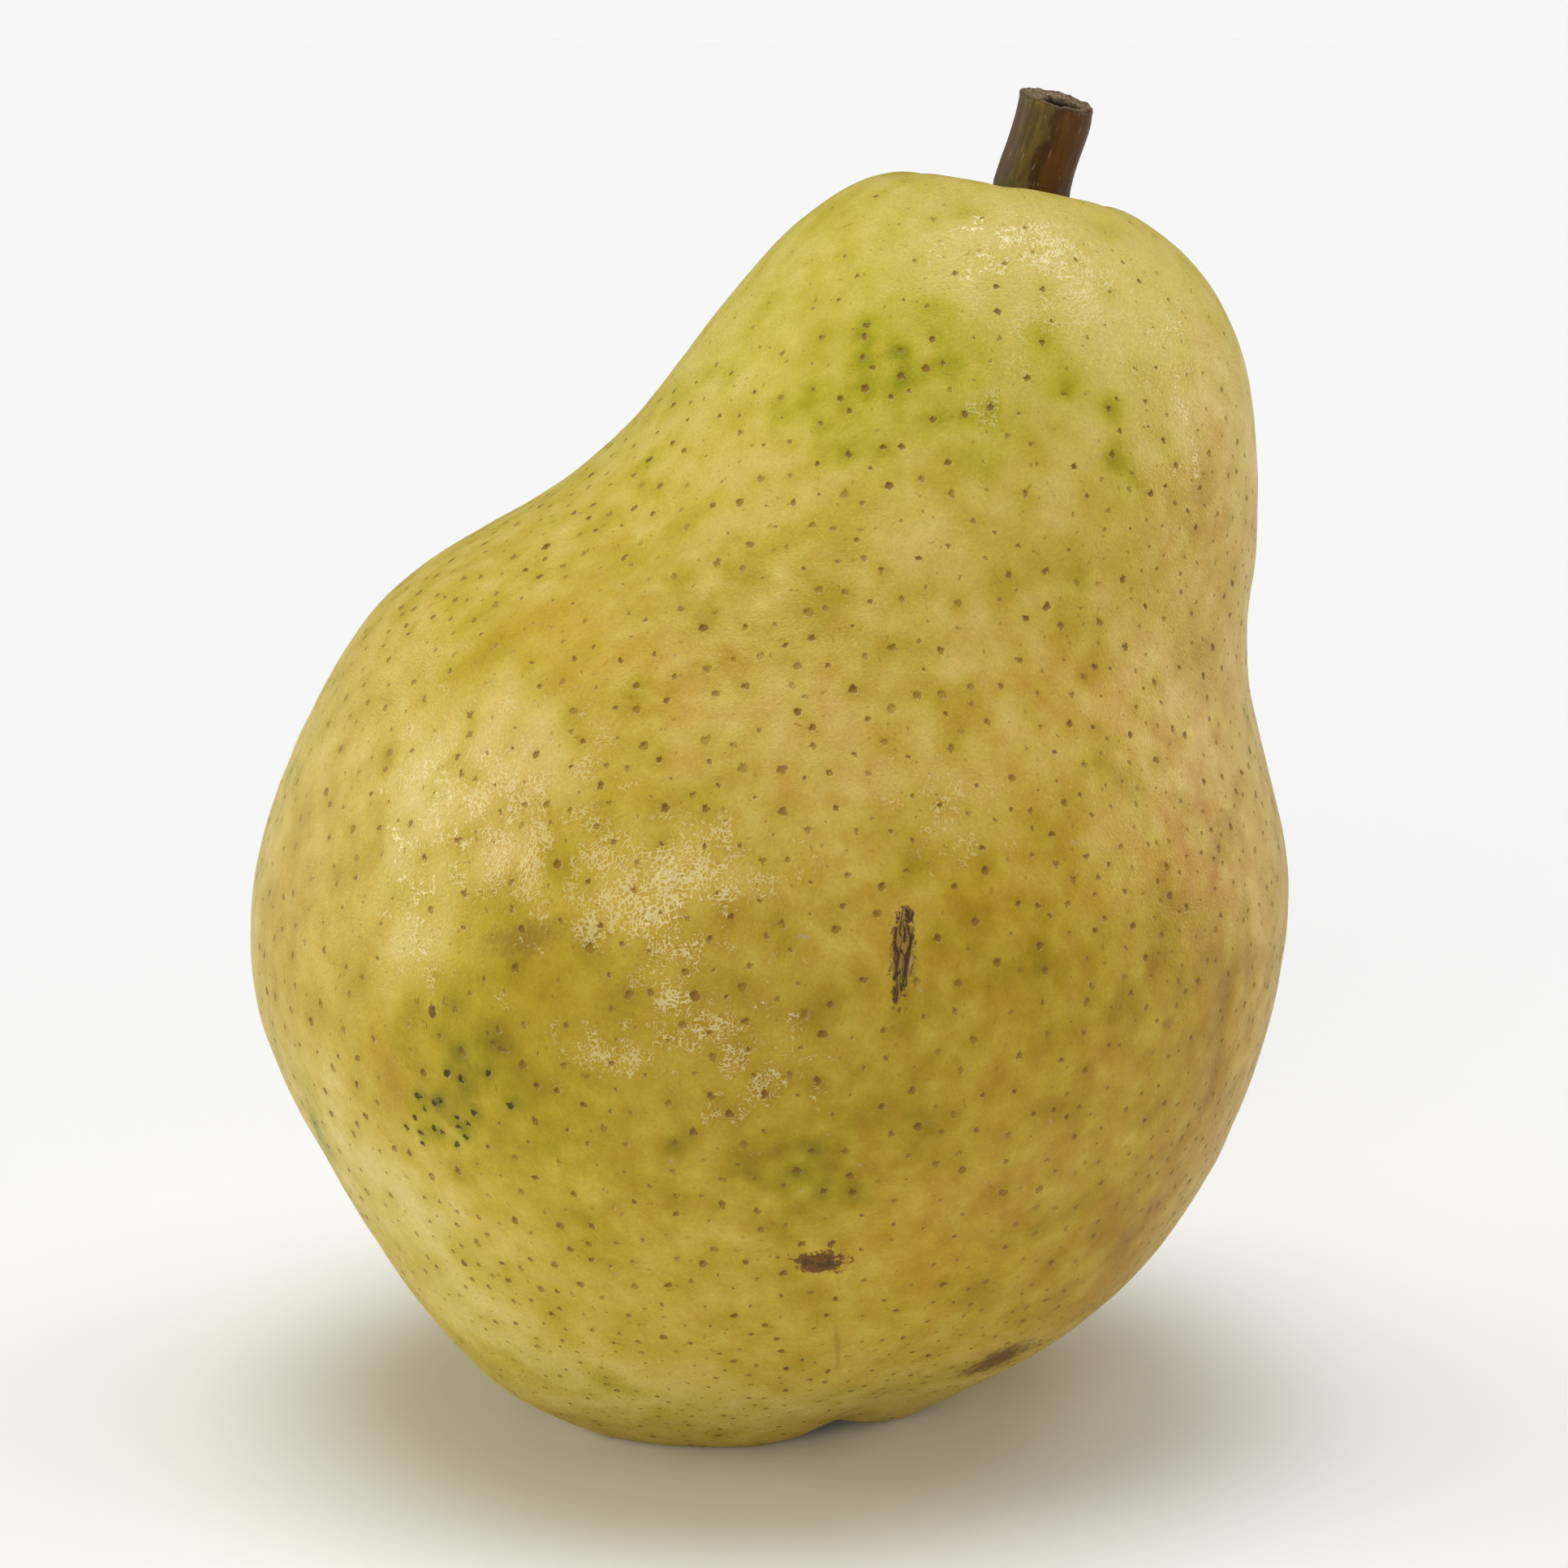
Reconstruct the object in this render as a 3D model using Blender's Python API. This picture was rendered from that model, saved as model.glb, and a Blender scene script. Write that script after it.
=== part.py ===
"""A squat, leaning pear that stands on its own base: fruit, woody stem and dried calyx.

Metres, +Z up. The origin is the middle of the bounding box, at the level that the fruit stands on.
The front of the fruit faces -Y, and the stem leans towards +X.
"""

import math

import bpy
import numpy as np

MM = 0.001

# Outline of the fruit, from the calyx up to the foot of the stem, in millimetres. Each row is one
# girdle round the fruit: its left point and right point (x, z), how far it reaches to the front and
# to the back, and how much higher its front lies than the middle of its two sides.
# left x, left z, right x, right z, front, back, front rise
GIRDLES = [
    (-1.5, 5.0, -1.5, 5.0, 0.0, 0.0, 0.0),
    (-5.5, 3.4, 2.5, 3.4, 4.0, 4.0, 0.0),
    (-11.0, -0.7, 8.5, -0.6, 10.0, 9.5, 0.0),
    (-18.4, 1.4, 15.0, 2.2, 15.6, 16.0, 0.0),
    (-23.6, 5.6, 20.8, 6.1, 20.8, 21.5, 0.0),
    (-28.4, 11.7, 26.4, 12.0, 26.5, 26.5, 0.0),
    (-33.0, 20.7, 31.0, 20.7, 31.5, 31.5, 0.0),
    (-36.4, 31.7, 33.8, 31.8, 35.0, 34.5, 0.0),
    (-35.3, 41.5, 34.0, 40.5, 34.0, 33.5, 0.0),
    (-30.8, 51.5, 31.9, 49.6, 30.5, 30.5, 0.0),
    (-25.0, 58.4, 31.5, 55.4, 26.5, 26.5, 0.0),
    (-17.2, 63.0, 32.0, 60.3, 23.5, 23.5, 0.0),
    (-10.7, 68.0, 31.9, 66.3, 21.0, 21.0, 0.0),
    (-6.5, 73.2, 30.8, 72.8, 18.5, 18.0, 0.0),
    (-2.5, 78.3, 28.3, 77.8, 15.5, 15.0, 0.3),
    (2.0, 82.8, 25.0, 81.0, 11.5, 11.0, 0.8),
    (8.0, 85.2, 21.5, 82.7, 7.5, 7.0, 0.5),
    (13.0, 83.2, 19.0, 81.9, 3.0, 3.0, 0.2),
    (16.3, 81.6, 16.3, 81.6, 0.0, 0.0, 0.0),
]

# Five blunt lobes meet in creases round the calyx, which fade out up the side. Creases and
# swellings also fade out over the basin share of the way up, towards the calyx.
CREASE_ANGLES = (-65.0, 15.0, 80.0, 130.0, 190.0)
CREASE_DEPTH = 1.5
CREASE_HALF_ANGLE = 15.0
CREASE_ROUNDING = 4.0
CREASE_TOP = 24.0
BASIN_SHARE = 0.07

# Broad swellings of the flesh: height, turn they point to, level, and half widths round and along.
SWELLINGS = [
    (1.2, -145.0, 4.0, 26.0, 7.0),
    (0.5, -100.0, 42.0, 30.0, 12.0),
    (0.5, -20.0, 30.0, 28.0, 14.0),
    (0.6, 110.0, 38.0, 35.0, 16.0),
    (-0.6, -55.0, 58.0, 24.0, 9.0),
    (0.5, 170.0, 26.0, 25.0, 10.0),
]

# Facets of the fruit: girdles from pole to pole, and points round each.
RINGS = 46
ROUND = 60
END_CROWDING = 0.55

# The stem: middle of its girdles (x, y, z) from just over its foot to its cut top, and their radii.
STEM_GIRDLES = [
    (16.5, 0.1, 83.5, 2.55),
    (16.6, 0.0, 84.4, 2.45),
    (16.9, -0.2, 85.5, 2.4),
    (17.3, -0.4, 86.8, 2.4),
    (17.7, -0.7, 88.0, 2.42),
    (17.9, -0.9, 89.1, 2.42),
    (18.0, -1.0, 89.8, 2.25),
]
STEM_LEAN_RIGHT = 14.0
STEM_LEAN_FRONT = 11.0
STEM_GAP = 0.3
STEM_FOOT_RADIUS = 2.7
STEM_PITH_RADIUS = 1.1
STEM_PITH_FLOOR_RADIUS = 0.8
STEM_PITH_DEPTH = 1.2
STEM_ROUND = 20

# The calyx: five dried sepals on a small cup, lying in the basin under the fruit.
CALYX_GAP = 0.35
SEPALS = 5
SEPAL_TIP = 5.6
SEPAL_NOTCH = 2.6
SEPAL_POINTEDNESS = 1.6
SEPAL_THICKNESS = 0.9
SEPAL_TIP_THICKNESS = 0.62
SEPAL_CURL = 1.0
CALYX_RINGS = 6
CALYX_ROUND = 40

# Colours, as red, green and blue in linear light.
SKIN_COLOUR = (0.58, 0.46, 0.10)
BARK_COLOUR = (0.13, 0.08, 0.035)
SEPAL_COLOUR = (0.10, 0.065, 0.035)


def clear_scene():
    for obj in list(bpy.data.objects):
        bpy.data.objects.remove(obj, do_unlink=True)


def make_material(name, colour, roughness, metallic=0.0):
    material = bpy.data.materials.new(name)
    material.use_nodes = True
    shader = material.node_tree.nodes["Principled BSDF"]
    shader.inputs["Base Color"].default_value = (*colour, 1.0)
    shader.inputs["Roughness"].default_value = roughness
    shader.inputs["Metallic"].default_value = metallic
    return material


def loop_slopes(knots, values):
    """Slopes of the smooth closed curve through the values at the knots; the last knot is the first."""
    spans = np.diff(knots)
    count = len(spans)
    matrix = np.zeros((count, count))
    right = np.zeros((count, values.shape[1]))
    for i in range(count):
        before = spans[i - 1]
        after = spans[i]
        matrix[i, i - 1] += 1.0 / before
        matrix[i, i] += 2.0 / before + 2.0 / after
        matrix[i, (i + 1) % count] += 1.0 / after
        rise_before = (values[i] - values[i - 1]) / before ** 2
        rise_after = (values[(i + 1) % count] - values[i]) / after ** 2
        right[i] = 3.0 * (rise_before + rise_after)
    return np.linalg.solve(matrix, right)


def side_curves(first, second, knots):
    """Smooth curves through two facing sides of the fruit that join without a corner at both poles."""
    loop = np.vstack([first, second[-2:0:-1]])
    back = 2.0 * knots[-1] - knots[-2::-1]
    loop_knots = np.concatenate([knots, back])
    slopes = loop_slopes(loop_knots, loop)
    count = len(first)
    first_slopes = slopes[:count]
    second_slopes = -np.vstack([slopes[0], slopes[:count - 2:-1]])
    return first_slopes, second_slopes


def along(knots, values, slopes, t):
    """The curve at t, from its values and slopes at the knots."""
    span = np.clip(np.searchsorted(knots, t, side="right") - 1, 0, len(knots) - 2)
    width = (knots[span + 1] - knots[span])[..., None]
    u = ((t - knots[span]) / (knots[span + 1] - knots[span]))[..., None]
    start = (1.0 + 2.0 * u) * (1.0 - u) ** 2 * values[span] + u * (1.0 - u) ** 2 * width * slopes[span]
    end = u ** 2 * (3.0 - 2.0 * u) * values[span + 1] - u ** 2 * (1.0 - u) * width * slopes[span + 1]
    return start + end


def fruit_sides():
    """Knots along the fruit, then the points and slopes of its left, right, front and back there."""
    rows = np.array(GIRDLES)
    left = rows[:, 0:2]
    right = rows[:, 2:4]
    middle = (left[:, 1] + right[:, 1]) / 2.0
    front = np.column_stack([-rows[:, 4], middle + rows[:, 6]])
    back = np.column_stack([rows[:, 5], middle - rows[:, 6]])
    steps = sum(np.linalg.norm(np.diff(side, axis=0), axis=1) for side in (left, right, front, back))
    knots = np.concatenate([[0.0], np.cumsum(steps)]) / np.sum(steps)
    left_slopes, right_slopes = side_curves(left, right, knots)
    front_slopes, back_slopes = side_curves(front, back, knots)
    sides = (left, right, front, back)
    return knots, list(zip(sides, (left_slopes, right_slopes, front_slopes, back_slopes)))


def share_of_side(distance):
    """A distance along the skin in millimetres, as a share of the way from pole to pole."""
    rows = np.array(GIRDLES)
    sides = (rows[:, 0:2], rows[:, 2:4])
    return 2.0 * distance / sum(np.linalg.norm(np.diff(side, axis=0), axis=1).sum() for side in sides)


def smooth_skin(t, turn):
    """Points of the fruit without lobes or swellings: t from calyx to stem, turn round it in radians."""
    knots, sides = fruit_sides()
    left, right, front, back = [along(knots, values, slopes, t) for values, slopes in sides]
    cos = np.cos(turn)
    sin = np.sin(turn)
    x = (left[..., 0] + right[..., 0]) / 2.0 + cos * (right[..., 0] - left[..., 0]) / 2.0
    y = (front[..., 0] + back[..., 0]) / 2.0 + sin * (back[..., 0] - front[..., 0]) / 2.0
    side_level = (left[..., 1] + right[..., 1]) / 2.0
    depth_level = (front[..., 1] + back[..., 1]) / 2.0
    z = (side_level + depth_level) / 2.0
    z = z + cos * (right[..., 1] - left[..., 1]) / 2.0 + sin * (back[..., 1] - front[..., 1]) / 2.0
    z = z + np.cos(2.0 * turn) * (side_level - depth_level) / 2.0
    return np.stack([x, y, z], axis=-1)


def turn_from(turn, degrees):
    """Signed angle in degrees from a direction round the fruit."""
    return (np.degrees(turn) - degrees + 180.0) % 360.0 - 180.0


def relief(t, turn, level):
    """Height of the lobes and swellings over the smooth skin, in millimetres."""
    clear_of_calyx = np.clip(t / BASIN_SHARE, 0.0, 1.0) ** 2
    fade = np.clip(1.0 - level / CREASE_TOP, 0.0, 1.0) ** 2 * (t < 0.5)
    height = np.zeros_like(level)
    for angle in CREASE_ANGLES:
        off = np.sqrt(turn_from(turn, angle) ** 2 + CREASE_ROUNDING ** 2) - CREASE_ROUNDING
        height -= CREASE_DEPTH * np.exp(-off / CREASE_HALF_ANGLE) * fade
    for swelling, angle, middle, half_turn, half_height in SWELLINGS:
        spread = (turn_from(turn, angle) / half_turn) ** 2 + ((level - middle) / half_height) ** 2
        height += swelling * np.exp(-spread)
    return height * clear_of_calyx


def skin(t, turn, lift=0.0):
    """Points of the finished fruit, moved out along its surface normal by lift millimetres."""
    step = 1e-4
    inner_t = np.clip(t, step, 1.0 - step)
    here = smooth_skin(t, turn)
    up = smooth_skin(inner_t + step, turn) - smooth_skin(inner_t - step, turn)
    round_way = smooth_skin(inner_t, turn + step) - smooth_skin(inner_t, turn - step)
    normal = np.cross(round_way, up)
    normal /= np.linalg.norm(normal, axis=-1, keepdims=True)
    return here + normal * (relief(t, turn, here[..., 2]) + lift)[..., None]


def flatten_foot(points):
    """The lobes' lowest skin is pressed flat where the fruit stands."""
    points[..., 2] = np.maximum(points[..., 2], 0.0)
    return points


def mesh_object(name, points, faces, material, shift):
    mesh = bpy.data.meshes.new(name)
    mesh.from_pydata(((points + shift) * MM).tolist(), [], faces)
    mesh.update()
    mesh.shade_smooth()
    mesh.materials.append(material)
    obj = bpy.data.objects.new(name, mesh)
    bpy.context.scene.collection.objects.link(obj)
    return obj


def tube_faces(rings, around, first_pole, last_pole):
    """Faces of a closed tube of rings, with a fan to a pole point at either end."""
    faces = []
    for j in range(around):
        k = (j + 1) % around
        faces.append((first_pole, k, j))
        for i in range(rings - 1):
            low = i * around
            high = low + around
            faces.append((low + j, low + k, high + k))
            faces.append((low + j, high + k, high + j))
        top = (rings - 1) * around
        faces.append((last_pole, top + j, top + k))
    return faces


def turns(count):
    return np.arange(count) * 2.0 * math.pi / count


def fruit_points():
    s = np.arange(1, RINGS) / RINGS
    t = s - END_CROWDING * np.sin(2.0 * math.pi * s) / (2.0 * math.pi)
    grid_t, grid_turn = np.meshgrid(t, turns(ROUND), indexing="ij")
    points = flatten_foot(skin(grid_t, grid_turn)).reshape(-1, 3)
    poles = skin(np.array([0.0, 1.0]), np.array([0.0, 0.0]))
    return np.vstack([points, poles])


def add_fruit(shift):
    points = fruit_points()
    rings = RINGS - 1
    faces = tube_faces(rings, ROUND, rings * ROUND, rings * ROUND + 1)
    material = make_material("pear_skin", SKIN_COLOUR, 0.42)
    return mesh_object("fruit", points, faces, material, shift)


def stem_ring(centre, radius, angles, part):
    """A girdle of the stem, which turns to the front part way from the foot (0) to the cut top (1)."""
    drop_right = math.tan(math.radians(STEM_LEAN_RIGHT))
    drop_front = math.tan(math.radians(STEM_LEAN_FRONT)) * part
    x = radius * np.cos(angles)
    y = radius * np.sin(angles)
    return np.array(centre) + np.column_stack([x, y, drop_front * y - drop_right * x])


def add_stem(shift):
    angles = turns(STEM_ROUND)
    foot_t = np.full(STEM_ROUND, 1.0 - share_of_side(STEM_FOOT_RADIUS))
    rings = [skin((foot_t + 1.0) / 2.0, angles, STEM_GAP), skin(foot_t, angles, STEM_GAP)]
    for i, (x, y, z, radius) in enumerate(STEM_GIRDLES):
        part = i / (len(STEM_GIRDLES) - 1)
        rings.append(stem_ring((x, y, z), radius, angles, part))
    top = np.array(STEM_GIRDLES[-1][:3])
    pith_floor = top - np.array([0.0, 0.0, STEM_PITH_DEPTH])
    rings.append(stem_ring(top, STEM_PITH_RADIUS, angles, 1.0))
    rings.append(stem_ring(pith_floor, STEM_PITH_FLOOR_RADIUS, angles, 1.0))
    foot = skin(np.array([1.0]), np.array([0.0]), STEM_GAP)
    points = np.vstack(rings + [foot, pith_floor[None, :]])
    count = len(rings)
    faces = tube_faces(count, STEM_ROUND, count * STEM_ROUND, count * STEM_ROUND + 1)
    material = make_material("stem_bark", BARK_COLOUR, 0.7)
    return mesh_object("stem", points, faces, material, shift)


def sepal_reach(angle):
    """How far the calyx reaches at an angle: five pointed sepals with notches between them."""
    wave = 0.5 + 0.5 * np.cos(SEPALS * angle)
    return SEPAL_NOTCH + (SEPAL_TIP - SEPAL_NOTCH) * wave ** SEPAL_POINTEDNESS


def calyx_layer(part, angles, lift):
    """One ring of the calyx at a part of its reach, lifted off the basin of the fruit."""
    return skin(share_of_side(part * sepal_reach(angles)), angles, lift)


def add_calyx(shift):
    angles = turns(CALYX_ROUND)
    rings = []
    for i in range(1, CALYX_RINGS + 1):
        part = i / CALYX_RINGS
        thickness = SEPAL_THICKNESS + (SEPAL_TIP_THICKNESS - SEPAL_THICKNESS) * part
        rings.append(calyx_layer(part, angles, CALYX_GAP + SEPAL_CURL * part ** 3 + thickness))
    for i in range(CALYX_RINGS, 0, -1):
        part = i / CALYX_RINGS
        rings.append(calyx_layer(part, angles, CALYX_GAP + SEPAL_CURL * part ** 3))
    inner = skin(np.array([0.0]), np.array([0.0]), CALYX_GAP)
    outer = skin(np.array([0.0]), np.array([0.0]), CALYX_GAP + SEPAL_THICKNESS)
    points = np.vstack(rings + [outer, inner])
    count = len(rings)
    faces = tube_faces(count, CALYX_ROUND, count * CALYX_ROUND, count * CALYX_ROUND + 1)
    material = make_material("calyx_dry", SEPAL_COLOUR, 0.85)
    return mesh_object("calyx", points, faces, material, shift)


def origin_shift():
    """Moves the middle of the fruit's bounding box over the origin."""
    points = fruit_points()
    middle = (points.min(axis=0) + points.max(axis=0)) / 2.0
    return np.array([-middle[0], -middle[1], 0.0])


def main():
    clear_scene()
    shift = origin_shift()
    add_fruit(shift)
    add_stem(shift)
    add_calyx(shift)


main()
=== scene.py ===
"""Looks of the pear: fine skin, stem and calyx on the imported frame, with floor, light and camera.

Lengths are in millimetres unless a name says otherwise. Pixels are those of the photograph, which is
1932 wide and high. Colours are red, green and blue in linear light. A turn is an angle round the
fruit: 0 is +X, and -90 degrees is the front.
"""

import math
import random

import bpy
import numpy as np
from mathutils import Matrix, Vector
from mathutils import kdtree
from mathutils import noise
from mathutils.bvhtree import BVHTree


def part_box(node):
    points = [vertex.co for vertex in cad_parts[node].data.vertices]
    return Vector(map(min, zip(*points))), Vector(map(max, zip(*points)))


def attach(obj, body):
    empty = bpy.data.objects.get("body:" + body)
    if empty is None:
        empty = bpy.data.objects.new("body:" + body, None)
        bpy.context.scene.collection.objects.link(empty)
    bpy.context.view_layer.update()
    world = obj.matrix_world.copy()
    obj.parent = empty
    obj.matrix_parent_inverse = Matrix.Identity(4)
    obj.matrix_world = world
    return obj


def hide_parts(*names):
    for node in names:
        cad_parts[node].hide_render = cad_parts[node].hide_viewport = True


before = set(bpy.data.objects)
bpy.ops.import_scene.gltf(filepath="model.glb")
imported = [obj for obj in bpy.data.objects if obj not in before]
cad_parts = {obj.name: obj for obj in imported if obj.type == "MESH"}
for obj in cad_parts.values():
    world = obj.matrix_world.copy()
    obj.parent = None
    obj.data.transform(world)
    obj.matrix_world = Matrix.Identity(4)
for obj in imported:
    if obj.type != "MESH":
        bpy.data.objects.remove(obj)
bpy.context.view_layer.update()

MM = 0.001
SEED = 11

# The camera
PHOTO_SIZE = 1932
CAMERA_LENS = 85.0
CAMERA_SENSOR = 36.0
CAMERA_DISTANCE = 255.0
CAMERA_ELEVATION = 11.5
CAMERA_TARGET = (1.12, 0.25, 43.43)

# The floor and what is behind it
FLOOR_RADIUS = 40000.0
FLOOR_LEVEL = -0.02
FLOOR_RINGS = (0.003, 0.03, 0.3, 1.0)
FLOOR_ROUND = 64
FLOOR_COLOUR = (0.94, 0.94, 0.94)
BACKDROP_COLOUR = (0.93, 0.93, 0.93)

# The light comes from a dome, darker near the floor, and from round softboxes far away:
# azimuth from +X, elevation, radius, half width of the soft edge (degrees), strength, colour
DOME_LOW = (0.12, 0.15, 0.21)
DOME_HIGH = (0.12, 0.12, 0.13)
DOME_RISE = 0.5
SOFTBOXES = [
    (180.0, 87.0, 17.0, 7.0, 6.9, (1.0, 1.0, 0.99)),
    (-174.0, 19.0, 12.0, 6.0, 4.0, (1.0, 0.95, 0.78)),
    (176.0, 3.0, 14.0, 7.0, 2.8, (1.0, 0.95, 0.80)),
    (150.0, 10.0, 14.0, 7.0, 3.4, (1.0, 0.99, 0.96)),
    (-110.0, 18.0, 12.0, 4.0, 4.6, (1.0, 0.99, 0.97)),
    (-8.0, 62.0, 12.0, 5.0, 3.6, (1.0, 0.99, 0.96)),
    (20.0, 3.0, 17.0, 7.0, 6.4, (1.0, 0.94, 0.80)),
    (-88.0, -2.0, 18.0, 8.0, 3.6, (1.0, 0.99, 0.96)),
]
LIGHT_SAMPLES = 180

# Outline of the fruit, from the calyx up to the foot of the stem. Each row is one girdle round it:
# left x, left z, right x, right z, front, back, front rise
GIRDLES = [
    (-1.5, 5.0, -1.5, 5.0, 0.0, 0.0, 0.0),
    (-5.5, 3.4, 2.5, 3.4, 4.0, 4.0, 0.0),
    (-11.0, -0.7, 8.5, -0.6, 10.0, 9.5, 0.0),
    (-18.4, 1.4, 15.0, 2.2, 15.6, 16.0, 0.0),
    (-23.6, 5.6, 20.8, 6.1, 20.8, 21.5, 0.0),
    (-28.4, 11.7, 26.4, 12.0, 26.5, 26.5, 0.0),
    (-33.0, 20.7, 31.0, 20.7, 31.5, 31.5, 0.0),
    (-36.4, 31.7, 33.8, 31.8, 35.0, 34.5, 0.0),
    (-35.3, 41.5, 34.0, 40.5, 34.0, 33.5, 0.0),
    (-30.8, 51.5, 31.9, 49.6, 30.5, 30.5, 0.0),
    (-25.0, 58.4, 31.5, 55.4, 26.5, 26.5, 0.0),
    (-17.2, 63.0, 32.0, 60.3, 23.5, 23.5, 0.0),
    (-10.7, 68.0, 31.9, 66.3, 21.0, 21.0, 0.0),
    (-6.5, 73.2, 30.8, 72.8, 18.5, 18.0, 0.0),
    (-2.5, 78.3, 28.3, 77.8, 15.5, 15.0, 0.3),
    (2.0, 82.8, 25.0, 81.0, 11.5, 11.0, 0.8),
    (8.0, 85.2, 21.5, 82.7, 7.5, 7.0, 0.5),
    (13.0, 83.2, 19.0, 81.9, 3.0, 3.0, 0.2),
    (16.3, 81.6, 16.3, 81.6, 0.0, 0.0, 0.0),
]
CREASE_ANGLES = (-65.0, 15.0, 80.0, 130.0, 190.0)
CREASE_DEPTH = 1.5
CREASE_HALF_ANGLE = 15.0
CREASE_ROUNDING = 4.0
CREASE_TOP = 24.0
BASIN_SHARE = 0.07

# Broad swellings of the flesh: height, turn they point to, level, and half widths round and along
SWELLINGS = [
    (1.2, -145.0, 4.0, 26.0, 7.0),
    (0.5, -100.0, 42.0, 30.0, 12.0),
    (0.5, -20.0, 30.0, 28.0, 14.0),
    (0.6, 110.0, 38.0, 35.0, 16.0),
    (-0.6, -55.0, 58.0, 24.0, 9.0),
    (0.5, 170.0, 26.0, 25.0, 10.0),
]

# The fine skin: a ball made of six squares, with rows crowded at both poles
SKIN_ACROSS = 104
SKIN_UP = 184
SKIN_CROWDING = 0.49
MAP_MARGIN = 0.004
# Unevenness of the skin: size across and height of its waves
SKIN_WAVES = ((15.0, 0.16), (6.0, 0.07), (2.6, 0.022))
# Folds in the skin round the foot of the stem: turn, depth, half angle
STEM_FOLDS = [
    (-28.0, 0.45, 7.0), (25.0, 0.35, 9.0), (80.0, 0.4, 8.0), (150.0, 0.35, 9.0), (-155.0, 0.4, 7.0),
    (-95.0, 0.2, 10.0),
]
FOLD_START = 0.915
FOLD_MIDDLE = 0.955
FOLD_END = 0.985
# Dents in the skin beside the foot of the stem: pixel x and y, half width, half height, tilt, depth
DENTS = [(1192, 236, 2.3, 1.7, 0.0, 0.5), (1352, 268, 1.7, 1.0, 20.0, 0.3)]
# A surface counts as front or back where this much of its normal points there
FRONT_SHARE = 0.35
# How deep a mark reaches, as a share of its smaller half width
DEPTH_REACH = 2.0

# Zones of the fruit: axis (0 is x, 2 is z), where the zone starts and where it is full
ZONES = {
    "left": (0, 5.0, -32.0),
    "right": (0, 5.0, 32.0),
    "inner": (0, -22.0, -8.0),
    "top": (2, 52.0, 78.0),
    "waist": (2, 36.0, 50.0),
    "middle": (2, 46.0, 30.0),
    "shelf": (2, 30.0, 14.0),
    "low": (2, 12.0, 4.0),
    "foot": (2, 5.0, 0.5),
}
# What each zone adds to a pigment. The low and foot entries make the bottom paler and more golden: painted
# light bounced from the floor
ZONE_TINTS = {
    "golden": {
        "all": 0.17, "left": 0.20, "right": 0.10, "right_waist": -0.22, "waist": -0.15, "top": -0.21,
        "shelf": -0.07, "foot": 0.35,
    },
    "halo": {"all": 0.14, "belly": 0.22, "right_waist": -0.10, "low": -0.15, "top": -0.08},
    "green": {
        "all": 0.12, "top": 0.20, "belly": 0.05, "left": -0.18, "right": -0.16, "waist": -0.07,
        "low": -0.24, "shelf": -0.15,
    },
    "peach": {"all": 0.66, "left": -0.58, "low": -0.36, "shelf": -0.20, "top": -0.60},
}
# Clouds of paler and deeper yellow all over: size across, amount
MOTTLES = ((9.0, 0.08), (4.5, 0.09), (2.6, 0.12))
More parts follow.
